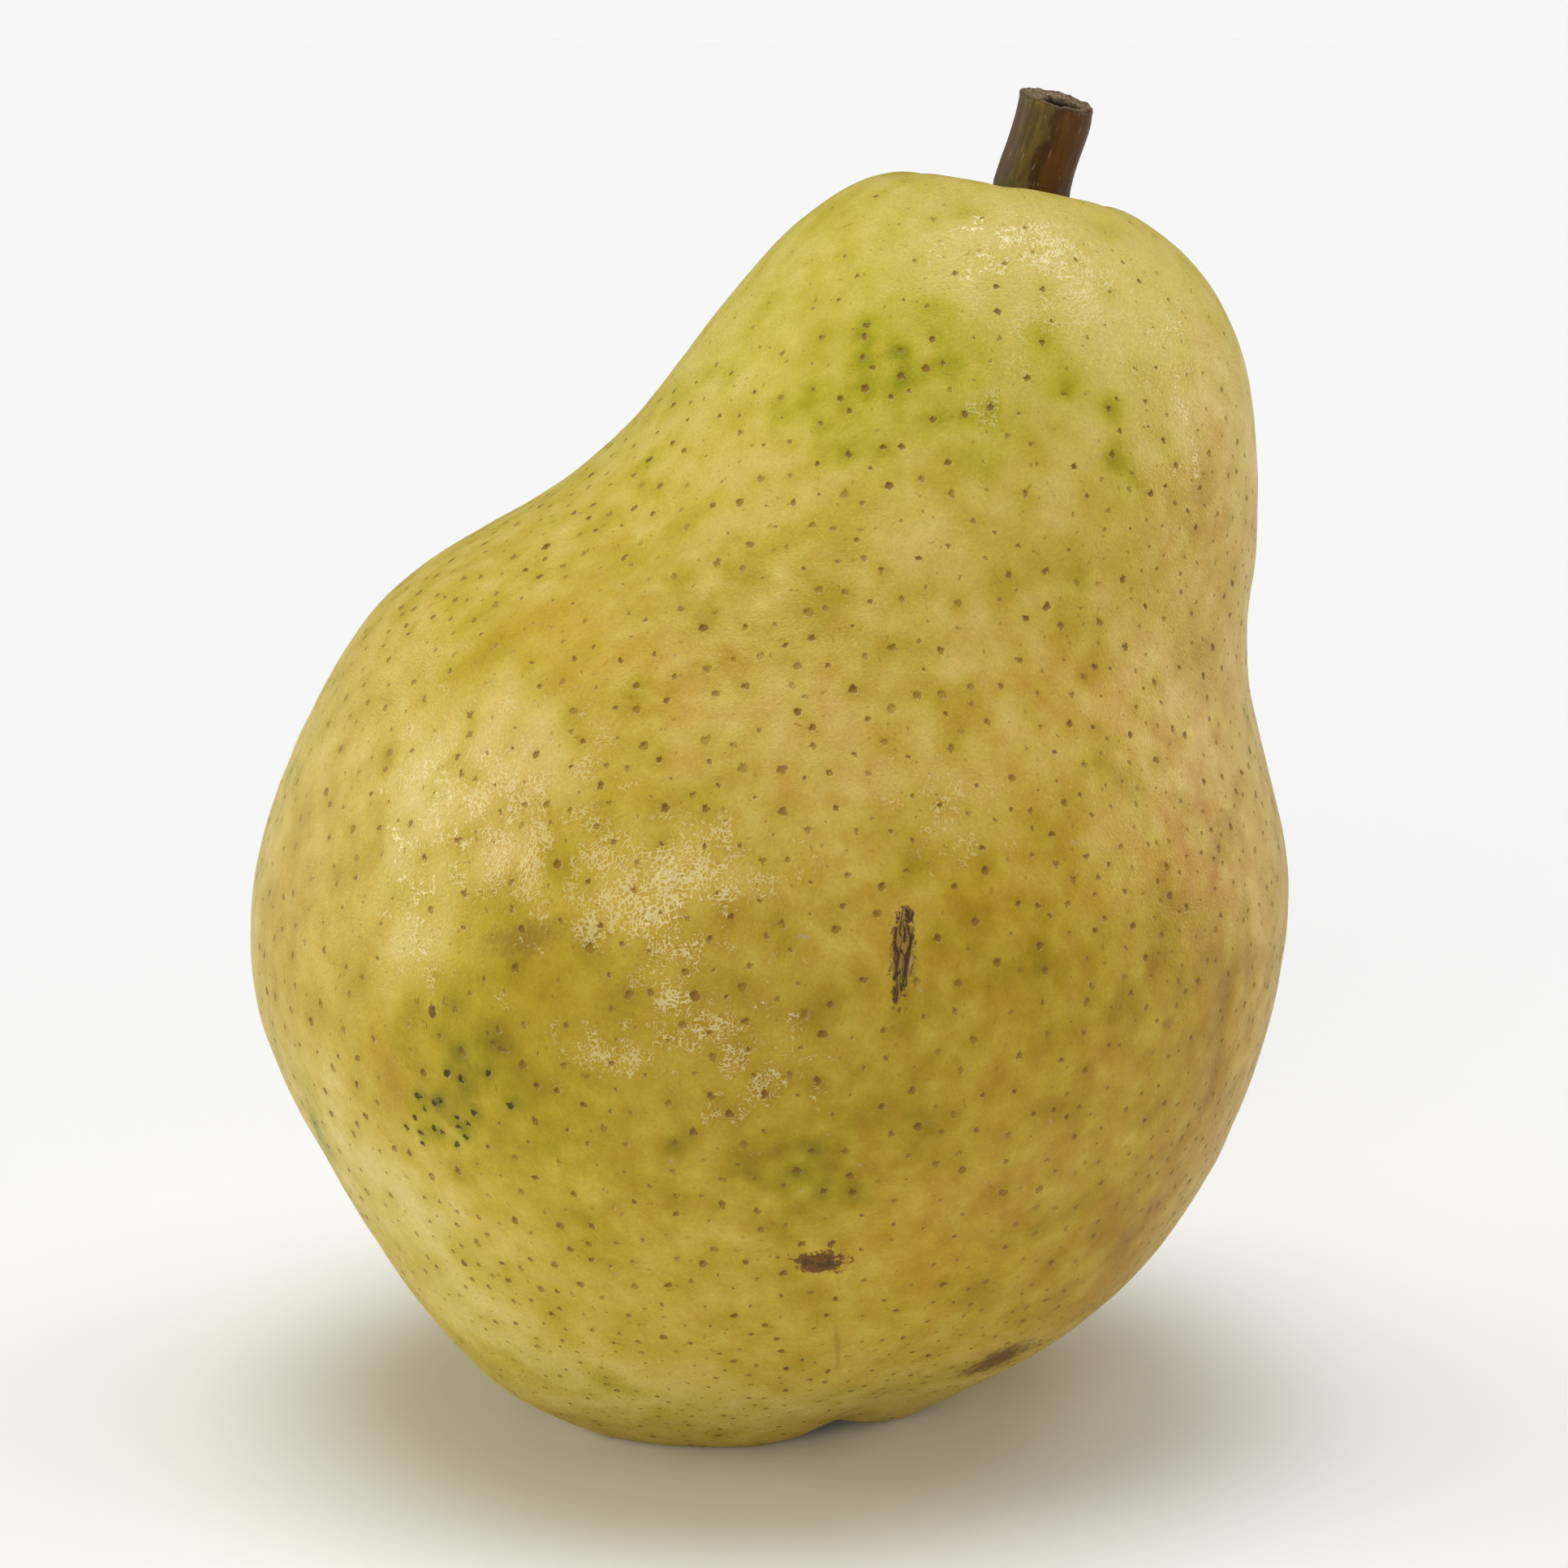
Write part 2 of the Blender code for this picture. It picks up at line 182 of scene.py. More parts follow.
# Tints of the skin seen in the photograph, by kind: pixel x and y, half width, half height,
# strength, and the tilt where there is one. A pale patch takes away from three pigments
PATCHES = {
    "green": [
        (1095, 475, 4.6, 3.8, 0.75), (1165, 430, 2.0, 1.7, 0.7), (1065, 415, 1.5, 1.5, 0.6),
        (985, 495, 2.2, 1.3, 0.7, 20.0), (1190, 515, 2.6, 1.3, 0.8), (1045, 555, 1.9, 1.3, 0.7),
        (1305, 470, 1.3, 1.1, 0.8), (1375, 500, 0.9, 1.1, 0.8), (1380, 565, 0.9, 1.0, 0.8),
        (950, 680, 3.0, 1.6, 0.3), (890, 750, 3.6, 1.8, 0.25, 10.0), (1080, 790, 2.2, 1.5, 0.25),
        (1290, 1195, 1.6, 1.2, 0.5), (1380, 1240, 1.1, 1.0, 0.4), (1360, 945, 2.2, 1.6, 0.4),
        (565, 1350, 4.6, 5.2, 0.85, -15.0), (595, 1300, 3.4, 2.6, 0.5), (640, 1410, 2.6, 1.8, 0.5),
        (985, 1450, 4.0, 2.6, 0.95, 15.0), (1050, 1400, 2.2, 2.2, 0.6), (1320, 1490, 1.7, 1.3, 0.4),
        (1345, 1555, 1.3, 1.1, 0.3), (395, 1400, 1.6, 5.5, 1.0, 10.0), (760, 1000, 5.0, 3.0, 0.15),
    ],
    "golden": [
        (570, 1360, 5.0, 5.0, 0.5), (740, 790, 7.0, 4.0, 0.3, 10.0), (470, 1320, 1.8, 3.4, 0.6),
        (1230, 1320, 9.0, 6.0, 0.2), (1240, 1100, 6.0, 5.0, 0.15), (1500, 1290, 4.0, 9.0, 0.5),
        (1180, 1560, 8.0, 4.0, 0.4), (650, 760, 6.0, 2.0, 0.4, 25.0), (1490, 640, 4.5, 7.0, 0.45),
        (345, 1120, 4.0, 9.0, 0.35), (440, 1040, 4.0, 8.0, 0.3), (700, 1210, 9.0, 8.0, 0.3),
        (1490, 1060, 4.0, 6.0, 0.6), (1370, 1530, 6.0, 5.0, 0.6, 30.0),
    ],
    "halo": [
        (700, 1180, 7.0, 5.5, 0.3), (870, 1230, 8.0, 7.0, 0.3), (620, 1240, 5.0, 4.0, 0.2),
        (760, 1390, 7.0, 4.5, 0.3), (700, 1240, 8.0, 6.0, 0.25), (1280, 1120, 9.0, 6.0, 0.3),
        (1000, 1390, 7.0, 5.0, 0.25), (1360, 1530, 6.0, 5.0, 0.45, 30.0),
    ],
    "peach": [
        (580, 1345, 6.0, 6.0, -0.5), (1360, 850, 6.0, 4.5, 0.15), (1480, 600, 4.5, 7.0, 0.45),
        (1500, 450, 4.0, 4.0, 0.2), (1380, 1540, 6.0, 5.0, 0.3, 30.0), (1480, 1000, 5.0, 7.0, 0.3),
        (1540, 1230, 4.0, 9.0, 0.2), (860, 830, 3.5, 2.0, 0.25), (640, 1010, 5.0, 4.0, 0.3),
        (1200, 1480, 6.0, 5.0, 0.3),
    ],
    "pale": [
        # The pale patches at 540, 1000 and 640, 920 on the left of the belly and at 1300, 330 on the crown
        # are painted highlights; those at 740, 1690 and 600, 1610 along the bottom paint light bounced from
        # the floor
        (1220, 800, 5.0, 3.5, 0.35), (740, 1690, 14.0, 3.5, 0.6), (600, 1610, 7.0, 4.0, 0.3, -30.0),
        (540, 1000, 6.0, 6.0, 0.8), (640, 920, 4.0, 3.0, 0.4), (1380, 860, 8.0, 5.0, 0.6),
        (1480, 1000, 5.0, 7.0, 0.25), (1400, 450, 5.0, 5.0, 0.2), (1550, 1180, 4.0, 8.0, 0.5),
        (400, 1330, 3.0, 5.0, 0.3), (1150, 640, 5.5, 3.0, 0.4), (940, 570, 5.0, 2.6, 0.5, 30.0),
        (1300, 330, 8.0, 5.0, 0.35), (980, 890, 6.0, 3.5, 0.25), (500, 1480, 6.0, 4.0, 0.5),
        (520, 1160, 3.5, 2.0, 0.5), (880, 640, 4.0, 1.6, 0.4, 20.0), (1130, 930, 4.0, 3.0, 0.4),
    ],
    "gloss": [
        # Gloss patches give a clear coat and, through the pale wax flecks, painted glints
        (862, 1072, 4.2, 2.2, 0.85, 10.0), (787, 1138, 2.6, 2.4, 0.75), (843, 1238, 2.3, 3.4, 0.8),
        (748, 1303, 3.0, 1.8, 1.0), (910, 1345, 4.6, 2.8, 0.55), (945, 1275, 3.0, 2.8, 0.5),
        (740, 1080, 3.2, 3.8, 0.6), (640, 1000, 7.0, 6.0, 0.4), (540, 1020, 5.0, 9.0, 0.35),
        (1205, 505, 1.6, 1.2, 0.45), (1270, 310, 6.0, 4.0, 0.36), (1350, 380, 5.0, 6.0, 0.3),
        (1440, 480, 3.0, 6.0, 0.26), (1180, 1020, 4.0, 3.0, 0.3),
    ],
}
PALE_SHARES = (("golden", 1.0), ("halo", 0.3), ("green", 0.1))
PATCH_REACH = 2.4
PATCH_MARGIN = 1.0
PATCH_RAGGEDNESS = 0.8
PATCH_WAVES = ((5.0, 1.0), (2.2, 0.6))
PATCH_WAVE_OFFSETS = (0.0, 40.0, 80.0)
# Patches on the far side: their number and kinds, the least y, and the range of each size
HIDDEN_PATCHES = 46
HIDDEN_KINDS = ("golden", "golden", "peach", "pale", "pale", "green", "gloss")
HIDDEN_FROM = 6.0
HIDDEN_SMALL = (1.5, 3.2)
HIDDEN_LARGE = (3.5, 7.5)
HIDDEN_FLATNESS = (0.5, 1.0)
HIDDEN_STRENGTH = (0.35, 0.8)

# Marks on the skin: pixel x and y, half width, half length, tilt, kind, strength, depth of the dent
SCAR_KINDS = ("crack", "russet", "bruise")
SCARS = [
    (1032, 1665, 0.25, 3.6, 2.0, "bruise", 0.3, 0.1),
    (1113, 1173, 0.85, 3.0, -4.0, "crack", 1.0, 0.22),
    (1010, 1556, 2.1, 1.1, -8.0, "russet", 1.0, -0.05),
    (1230, 1678, 3.0, 3.0, 18.0, "bruise", 1.0, 0.2),
    (645, 1155, 3.4, 1.3, 12.0, "bruise", 0.42, 0.06),
    (531, 1246, 0.42, 0.55, 0.0, "russet", 0.9, 0.0),
    (1495, 1340, 0.9, 3.2, -18.0, "bruise", 0.35, 0.12),
    (1440, 1262, 0.7, 0.45, 0.0, "bruise", 0.4, 0.05),
]
SCAR_AREA = 2.6
SCAR_REACH = 1.5
SCAR_MARGINS = (1.6, 0.6)
NO_SCAR = (9.0, 9.0, 0.0)
# The same for the far side: turn, share of the way from calyx to stem, then as above
HIDDEN_SCARS = [
    (70.0, 0.46, 1.6, 0.9, 20.0, "russet", 0.9, 0.0),
    (120.0, 0.30, 0.6, 2.0, 12.0, "crack", 0.8, 0.15),
    (160.0, 0.55, 2.2, 1.0, -10.0, "bruise", 0.6, 0.12),
    (35.0, 0.68, 1.2, 0.7, 40.0, "bruise", 0.5, 0.06),
    (100.0, 0.16, 2.4, 1.4, 0.0, "bruise", 0.7, 0.15),
]

# Lenticels, the skin's corky breathing spots: usual spacing and radius, and their ranges
SPOT_SPACING = 2.75
SPOT_RADIUS = 0.222
SPOT_SPACING_SPREAD = (0.45, 1.25)
SPOT_RADIUS_SPREAD = (0.4, 1.35)
SPOT_STRENGTH = (0.5, 1.0)
SPOT_JITTER = 0.2
SPOT_SHARES = (0.045, 0.985)
ORANGE_SPOTS = 0.2
ORANGE_SIZE = 0.75
BROWN_SPREAD = (0.0, 0.5)
SPOT_DIP = 0.055
SPOT_DIP_SPREAD = (0.3, 1.3)
SPOT_DIP_RADIUS = 1.2
# Zones of the lenticels at the top, right and bottom: axis, start, full
SPOT_ZONES = ((2, 60.0, 80.0), (0, 10.0, 30.0), (2, 22.0, 6.0))
# Shares of the usual spacing and radius: everywhere, then what the three zones add
SPACING_SHARES = (0.95, 0.35, -0.26, -0.28)
RADIUS_SHARES = (1.0, -0.25, -0.18, -0.25)
# Halos round the lenticels. In green skin, from this much green, they are smaller and stronger
HALO_RADIUS = (0.75, 1.35)
HALO_STRENGTH = (0.2, 0.8)
HALO_REACH = 2.2
LEAFY_FROM = 0.3
LEAFY_RISE = 1.8
LEAFY_SHRINK = 0.55
LEAFY_GAIN = 0.8
GREEN_HALO_CHANCE = 0.06
GREEN_HALO_LIMIT = 0.9
# Near-black spots in the green at the lower left, as pixels
DARK_SPOTS = [
    (513, 1352), (521, 1368), (509, 1378), (499, 1391), (517, 1398), (533, 1361), (541, 1358),
    (550, 1323), (566, 1330), (561, 1378), (563, 1391), (573, 1402), (561, 1411), (533, 1393),
    (519, 1412), (583, 1372), (602, 1322), (629, 1362), (543, 1397), (575, 1385),
]
# Brown spots in the green of the neck, and five above the green at the lower left, as pixels
GREEN_SPOTS = [
    (1063, 440), (1075, 453), (1066, 479), (1098, 489), (1120, 481), (1111, 463), (1141, 453),
    (1162, 447), (1149, 418), (1064, 414), (1067, 400), (1047, 507), (1036, 492), (1149, 517),
    (1188, 510), (1221, 500), (1111, 550), (1009, 572), (1046, 561), (1089, 551), (1168, 570),
    (1230, 384), (1285, 356), (1228, 353), (1266, 465), (1312, 484), (1367, 503), (1377, 491),
    (1381, 531), (1371, 560), (600, 1274), (612, 1269), (607, 1286), (615, 1292), (622, 1295),
]
# The two lists with the range of the radius, the strength, and the share of orange or black (-1)
PLACED_SPOTS = (
    (DARK_SPOTS, (0.208, 0.299), 0.95, -1.0),
    (GREEN_SPOTS, (0.15, 0.26), 0.9, 0.1),
)

# Colours of the skin and its marks
BARE_SKIN = (0.68, 0.55, 0.178)
GOLDEN_PIGMENT = (0.27, 0.47, 2.0)
OLIVE_PIGMENT = (0.30, 0.32, 1.5)
GREEN_PIGMENT = (0.62, 0.47, 2.8)
PEACH_PIGMENT = (0.15, 0.42, 0.65)
SPOT_BROWN = (0.215, 0.098, 0.018)
SPOT_ORANGE = (0.30, 0.145, 0.010)
SPOT_BLACK = (0.030, 0.014, 0.009)
# Painted shade on one side of each lenticel, and a painted glint on the pale rim of the other side
SPOT_PAINTED_SHADE = (0.085, 0.036, 0.009)
SPOT_PAINTED_GLINT = (0.60, 0.47, 0.30)
SCAR_TAN = (0.23, 0.135, 0.030)
SCAR_DARK = (0.045, 0.018, 0.008)
SCAR_FIBRE = (0.50, 0.38, 0.24)
RUSSET = (0.135, 0.046, 0.012)
BRUISE = (0.115, 0.050, 0.008)
SCUFF = (0.42, 0.36, 0.28)
# Pale flecks of wax in the glossy patches, which paint glints
WAX_AND_PAINTED_GLINT = (0.85, 0.75, 0.34)
SKIN_ROUGHNESS = 0.42
SKIN_SPECULAR = 0.2
WAX_ROUGHNESS = 0.16
BARK_SPECULAR = 0.12
WRINKLE_HEIGHT = 0.08

# The stem: middle of its girdles (x, y, z) and their radii, from just over its foot to its cut top
STEM_GIRDLES = [
    (16.5, 0.1, 83.5, 2.55),
    (16.6, 0.0, 84.4, 2.45),
    (16.9, -0.2, 85.5, 2.4),
    (17.3, -0.4, 86.8, 2.4),
    (17.7, -0.7, 88.0, 2.42),
    (17.9, -0.9, 89.1, 2.42),
    (18.0, -1.0, 89.8, 2.25),
]
STEM_CURVE_DEGREE = 4
STEM_STEP = 0.08
STEM_LEAN_RIGHT = 14.0
STEM_LEAN_FRONT = 11.0
STEM_ROOT = -0.38
STEM_ROOT_FLARE = 0.5
STEM_ROUND = 160
STEM_RINGS = 120
# Uneven bark: height, size across, stretch along the stem and offset of each noise
STEM_BUMPS = ((0.075, 0.8, 5.0, 2.0), (0.10, 2.2, 2.5, 9.0), (0.03, 0.35, 4.0, 5.0))
STEM_FLARE = 0.10
STEM_FLARE_SHARES = (0.86, 0.97)
# Cut top of the stem, from its rim inwards: share of the radius, depth below the rim
CUT_PROFILE = [
    (1.02, 0.05), (1.0, -0.02), (0.965, -0.06), (0.93, -0.05), (0.9, 0.02), (0.86, 0.1), (0.8, 0.13),
    (0.72, 0.12), (0.66, 0.16), (0.61, 0.26), (0.57, 0.5), (0.53, 0.85), (0.46, 1.15), (0.3, 1.28),
    (0.12, 1.32),
]
# Uneven wood of the cut: height, step from ring to ring, size across, offset of each noise
CUT_WAVES = ((0.13, 0.12, 0.7, 7.0), (0.06, 0.2, 0.3, 4.0))
CUT_WALL_SHARE = 0.35
CUT_SHARES = (0.985, 0.93)
PITH_SHARES = (0.64, 0.55)
PITH_OFFSET = (0.4, 0.1, 0.0)
PITH_DEPTH = 1.3

# Colours of the bark by side, of its foot, flecks and worn rim, of the cut wood and of the sepals
BARK_RAMP = (
    (0.0, (0.105, 0.052, 0.024)),
    (0.14, (0.090, 0.058, 0.014)),
    (0.27, (0.150, 0.098, 0.020)),
    (0.43, (0.058, 0.028, 0.006)),
    (0.70, (0.105, 0.043, 0.006)),
    (1.0, (0.070, 0.030, 0.012)),
)
BARK_FOOT = (0.085, 0.085, 0.022)
BARK_FLECK = (0.34, 0.28, 0.24)
BARK_RIM = (0.15, 0.11, 0.085)
WOOD_RAMP = ((0.28, (0.035, 0.022, 0.014)), (0.5, (0.19, 0.125, 0.07)), (0.72, (0.46, 0.36, 0.22)))
# Near black at the bottom of the hollow of the cut: dark pith with painted shade of the hollow
PITH_AND_PAINTED_SHADE = (0.008, 0.006, 0.005)
SEPAL_RAMP = ((0.05, (0.045, 0.028, 0.016)), (0.45, (0.11, 0.068, 0.035)), (0.9, (0.22, 0.155, 0.085)))

# The calyx: dried sepals and what is left of the stamens
SEPALS = 5
SEPAL_LENGTHS = (5.7, 5.1, 5.5, 4.9, 5.4)
SEPAL_WIDTH = 1.55
SEPAL_THICKNESS = 0.32
SEPAL_ROWS = 26
SEPAL_ROUND = 28
SEPAL_START = 0.9
SEPAL_LIFT = 0.15
SEPAL_CURL = 1.7
STAMENS = 16
STAMEN_ROWS = 12
STAMEN_ROUND = 8
STAMEN_RADIUS = 0.13
STAMEN_LENGTH = 2.6
CALYX_CUP_RADIUS = 2.7
CUP_ROUND = 60
# The cup from its outer edge inwards: share of the radius, height over the skin
CUP_PROFILE = (
    (1.0, -0.25), (1.04, 0.05), (0.97, 0.28), (0.82, 0.38), (0.62, 0.22), (0.4, 0.0), (0.2, -0.12),
)
CALYX_LEVEL = 0.15
# Paleness of the cup, the sepals and the stamens
CUP_LOOK = 0.3
SEPAL_LOOK = 0.75
STAMEN_LOOK = 0.15


def loop_slopes(knots, values):
    """Slopes of the smooth closed curve through the values at the knots; the last knot is the first."""
    spans = np.diff(knots)
    count = len(spans)
    matrix = np.zeros((count, count))
    right = np.zeros((count, values.shape[1]))
    for i in range(count):
        before = spans[i - 1]
        after = spans[i]
        matrix[i, i - 1] += 1.0 / before
        matrix[i, i] += 2.0 / before + 2.0 / after
        matrix[i, (i + 1) % count] += 1.0 / after
        rise_before = (values[i] - values[i - 1]) / before ** 2
        rise_after = (values[(i + 1) % count] - values[i]) / after ** 2
        right[i] = 3.0 * (rise_before + rise_after)
    return np.linalg.solve(matrix, right)


def side_curves(first, second, knots):
    """Smooth curves through two facing sides of the fruit that join without a corner at both poles."""
    loop = np.vstack([first, second[-2:0:-1]])
    back = 2.0 * knots[-1] - knots[-2::-1]
    loop_knots = np.concatenate([knots, back])
    slopes = loop_slopes(loop_knots, loop)
    count = len(first)
    first_slopes = slopes[:count]
    second_slopes = -np.vstack([slopes[0], slopes[:count - 2:-1]])
    return first_slopes, second_slopes


def along(knots, values, slopes, t):
    """The curve at t, from its values and slopes at the knots."""
    span = np.clip(np.searchsorted(knots, t, side="right") - 1, 0, len(knots) - 2)
    width = (knots[span + 1] - knots[span])[..., None]
    u = ((t - knots[span]) / (knots[span + 1] - knots[span]))[..., None]
    start = (1.0 + 2.0 * u) * (1.0 - u) ** 2 * values[span] + u * (1.0 - u) ** 2 * width * slopes[span]
    end = u ** 2 * (3.0 - 2.0 * u) * values[span + 1] - u ** 2 * (1.0 - u) * width * slopes[span + 1]
    return start + end


def fruit_sides():
    """Knots along the fruit, then the points and slopes of its left, right, front and back there."""
    rows = np.array(GIRDLES)
    left = rows[:, 0:2]
    right = rows[:, 2:4]
    middle = (left[:, 1] + right[:, 1]) / 2.0
    front = np.column_stack([-rows[:, 4], middle + rows[:, 6]])
    back = np.column_stack([rows[:, 5], middle - rows[:, 6]])
    steps = sum(np.linalg.norm(np.diff(side, axis=0), axis=1) for side in (left, right, front, back))
    knots = np.concatenate([[0.0], np.cumsum(steps)]) / np.sum(steps)
    slopes = side_curves(left, right, knots) + side_curves(front, back, knots)
    return knots, list(zip((left, right, front, back), slopes))


def share_of_side(distance):
    """A distance along the skin, as a share of the way from pole to pole."""
    rows = np.array(GIRDLES)
    sides = (rows[:, 0:2], rows[:, 2:4])
    return 2.0 * distance / sum(np.linalg.norm(np.diff(side, axis=0), axis=1).sum() for side in sides)


def smooth_skin(t, turn):
    """Points of the fruit without lobes or swellings: t from calyx to stem, turn in radians."""
    knots, sides = fruit_sides()
    left, right, front, back = [along(knots, values, slopes, t) for values, slopes in sides]
    cos = np.cos(turn)
    sin = np.sin(turn)
    x = (left[..., 0] + right[..., 0]) / 2.0 + cos * (right[..., 0] - left[..., 0]) / 2.0
    y = (front[..., 0] + back[..., 0]) / 2.0 + sin * (back[..., 0] - front[..., 0]) / 2.0
    side_level = (left[..., 1] + right[..., 1]) / 2.0
    depth_level = (front[..., 1] + back[..., 1]) / 2.0
    z = (side_level + depth_level) / 2.0
    z = z + cos * (right[..., 1] - left[..., 1]) / 2.0 + sin * (back[..., 1] - front[..., 1]) / 2.0
    z = z + np.cos(2.0 * turn) * (side_level - depth_level) / 2.0
    return np.stack([x, y, z], axis=-1)


def turn_from(turn, degrees):
    """Signed angle in degrees from a direction round the fruit."""
    return (np.degrees(turn) - degrees + 180.0) % 360.0 - 180.0


def relief(t, turn, level):
    """Height of the lobes and swellings over the smooth skin."""
    clear_of_calyx = np.clip(t / BASIN_SHARE, 0.0, 1.0) ** 2
    fade = np.clip(1.0 - level / CREASE_TOP, 0.0, 1.0) ** 2 * (t < 0.5)
    height = np.zeros_like(level)
    for angle in CREASE_ANGLES:
        off = np.sqrt(turn_from(turn, angle) ** 2 + CREASE_ROUNDING ** 2) - CREASE_ROUNDING
        height -= CREASE_DEPTH * np.exp(-off / CREASE_HALF_ANGLE) * fade
    for swelling, angle, middle, half_turn, half_height in SWELLINGS:
        spread = (turn_from(turn, angle) / half_turn) ** 2 + ((level - middle) / half_height) ** 2
        height += swelling * np.exp(-spread)
    return height * clear_of_calyx


def skin(t, turn, lift=0.0):
    """Points of the fruit, moved out along its surface normal by lift."""
    step = 1e-4
    inner_t = np.clip(t, step, 1.0 - step)
    here = smooth_skin(t, turn)
    up = smooth_skin(inner_t + step, turn) - smooth_skin(inner_t - step, turn)
    round_way = smooth_skin(inner_t, turn + step) - smooth_skin(inner_t, turn - step)
    normal = np.cross(round_way, up)
    normal /= np.linalg.norm(normal, axis=-1, keepdims=True)
    return here + normal * (relief(t, turn, here[..., 2]) + lift)[..., None]


def turns(count):
    """Angles spread evenly round a circle, in radians."""
    return np.arange(count) * 2.0 * math.pi / count


def soft_step(low, high, value):
    """0 below low, 1 above high, smooth between; low may be the higher one."""
    share = np.clip((value - low) / (high - low), 0.0, 1.0)
    return share * share * (3.0 - 2.0 * share)


def wave_noise(points, size, offset):
    """Smooth noise from -1 to 1 at each point, with waves of about the given size."""
    shift = Vector((offset, offset * 0.37, -offset * 0.71))
    return np.array([noise.noise(Vector(point) / size + shift) for point in points])


# Meshes

def ball_grid():
    """Directions of a cube blown up to a ball, its four-sided faces, and the map place of each corner."""
    across = np.tan(np.radians(np.linspace(-45.0, 45.0, SKIN_ACROSS + 1)))
    upward = np.tan(np.radians(np.linspace(-45.0, 45.0, SKIN_UP + 1)))
    blocks = []
    for quarter in range(4):
        angle = quarter * math.pi / 2.0
        u, v = np.meshgrid(across, upward, indexing="ij")
        x = math.cos(angle) - u * math.sin(angle)
        y = math.sin(angle) + u * math.cos(angle)
        blocks.append(np.stack([x, y, v], axis=-1))
    u, v = np.meshgrid(across, across, indexing="ij")
    blocks.append(np.stack([u, v, np.ones_like(u)], axis=-1))
    blocks.append(np.stack([v, u, -np.ones_like(u)], axis=-1))
    points = []
    faces = []
    places = []
    start = 0
    for number, block in enumerate(blocks):
        wide, high = block.shape[:2]
        index = start + np.arange(wide * high).reshape(wide, high)
        corners = [index[:-1, :-1], index[1:, :-1], index[1:, 1:], index[:-1, 1:]]
        faces.append(np.stack(corners, axis=-1).reshape(-1, 4))
        points.append(block.reshape(-1, 3))
        places.append(map_tile(number, wide, high))
        start += wide * high
    points = np.vstack(points)
    points = points / np.linalg.norm(points, axis=1, keepdims=True)
    merged, inverse = np.unique(np.round(points, 6), axis=0, return_inverse=True)
    faces = np.vstack(faces)
    return merged, inverse.reshape(-1)[faces], np.vstack(places)[faces]


def map_tile(number, wide, high):
    """Map places of one square of the ball, on a sheet of three by two tiles."""
    column = number % 3
    row = number // 3
    u = np.linspace(MAP_MARGIN, 1.0 - MAP_MARGIN, wide)
    v = np.linspace(MAP_MARGIN, 1.0 - MAP_MARGIN, high)
    u, v = np.meshgrid((column + u) / 3.0, (row + v) / 2.0, indexing="ij")
    return np.stack([u, v], axis=-1).reshape(-1, 2)


def tube_faces(rings, around, start=0):
    """Faces of a closed tube of rings, whose two end points follow the rings."""
    first_pole = start + rings * around
    last_pole = first_pole + 1
    faces = []
    for j in range(around):
        k = (j + 1) % around
        faces.append((first_pole, start + k, start + j))
        for i in range(rings - 1):
            low = start + i * around
            high = low + around
            faces.append((low + j, low + k, high + k, high + j))
        top = start + (rings - 1) * around
        faces.append((last_pole, top + j, top + k))
    return faces


def mesh_object(name, points, faces, material):
    """A smooth object from points in millimetres."""
    mesh = bpy.data.meshes.new(name)
    mesh.from_pydata((np.asarray(points) * MM).tolist(), [], np.asarray(faces, dtype=object).tolist())
    mesh.update()
    mesh.shade_smooth()
    mesh.materials.append(material)
    obj = bpy.data.objects.new(name, mesh)
    bpy.context.scene.collection.objects.link(obj)
    return obj


def store(mesh, name, values, domain="POINT"):
    """Writes three numbers for each point or face of a mesh."""
    layer = mesh.attributes.new(name, "FLOAT_VECTOR", domain)
    layer.data.foreach_set("vector", np.asarray(values, dtype=np.float32).ravel())


# The camera's view of the skin

def camera_axes():
    """Place of the camera, and the directions forward, right and up in its picture."""
    angle = math.radians(CAMERA_ELEVATION)
    forward = Vector((0.0, math.cos(angle), -math.sin(angle)))
    right = Vector((1.0, 0.0, 0.0))
    place = Vector(CAMERA_TARGET) - forward * CAMERA_DISTANCE
    return place, forward, right, right.cross(forward)


def pixel_ray(x, y):
    """Place of the camera and the direction through a pixel of the photograph."""
    place, forward, right, up = camera_axes()
    focal = CAMERA_LENS / CAMERA_SENSOR * PHOTO_SIZE
    half = PHOTO_SIZE / 2.0
    return place, (forward * focal + right * (x - half) + up * (half - y)).normalized()


def surface_frame(place, normal, tilt=0.0):
    """Directions to the right, up and out on the surface at a place, turned by tilt degrees."""
    right = Vector((1.0, 0.0, 0.0))
    if abs(normal.y) < FRONT_SHARE:
        right = Vector((0.0, 1.0 if normal.x > 0.0 else -1.0, 0.0))
    if normal.y > FRONT_SHARE:
        right = Vector((-1.0, 0.0, 0.0))
    right = (right - normal * right.dot(normal)).normalized()
    up = normal.cross(right)
    angle = math.radians(tilt)
    tilted_right = right * math.cos(angle) + up * math.sin(angle)
    return place, tilted_right, normal.cross(tilted_right), normal


def spread_from(points, spot, half_width, half_height):
    """How far each point is from a spot on the surface, as a share of its half width and height."""
    place, right, up, out = spot
    offset = points - np.array(place)
    across = offset @ np.array(right) / half_width
    upward = offset @ np.array(up) / half_height
    through = offset @ np.array(out) / (min(half_width, half_height) * DEPTH_REACH)
    return across, upward, np.sqrt(across ** 2 + upward ** 2 + through ** 2)


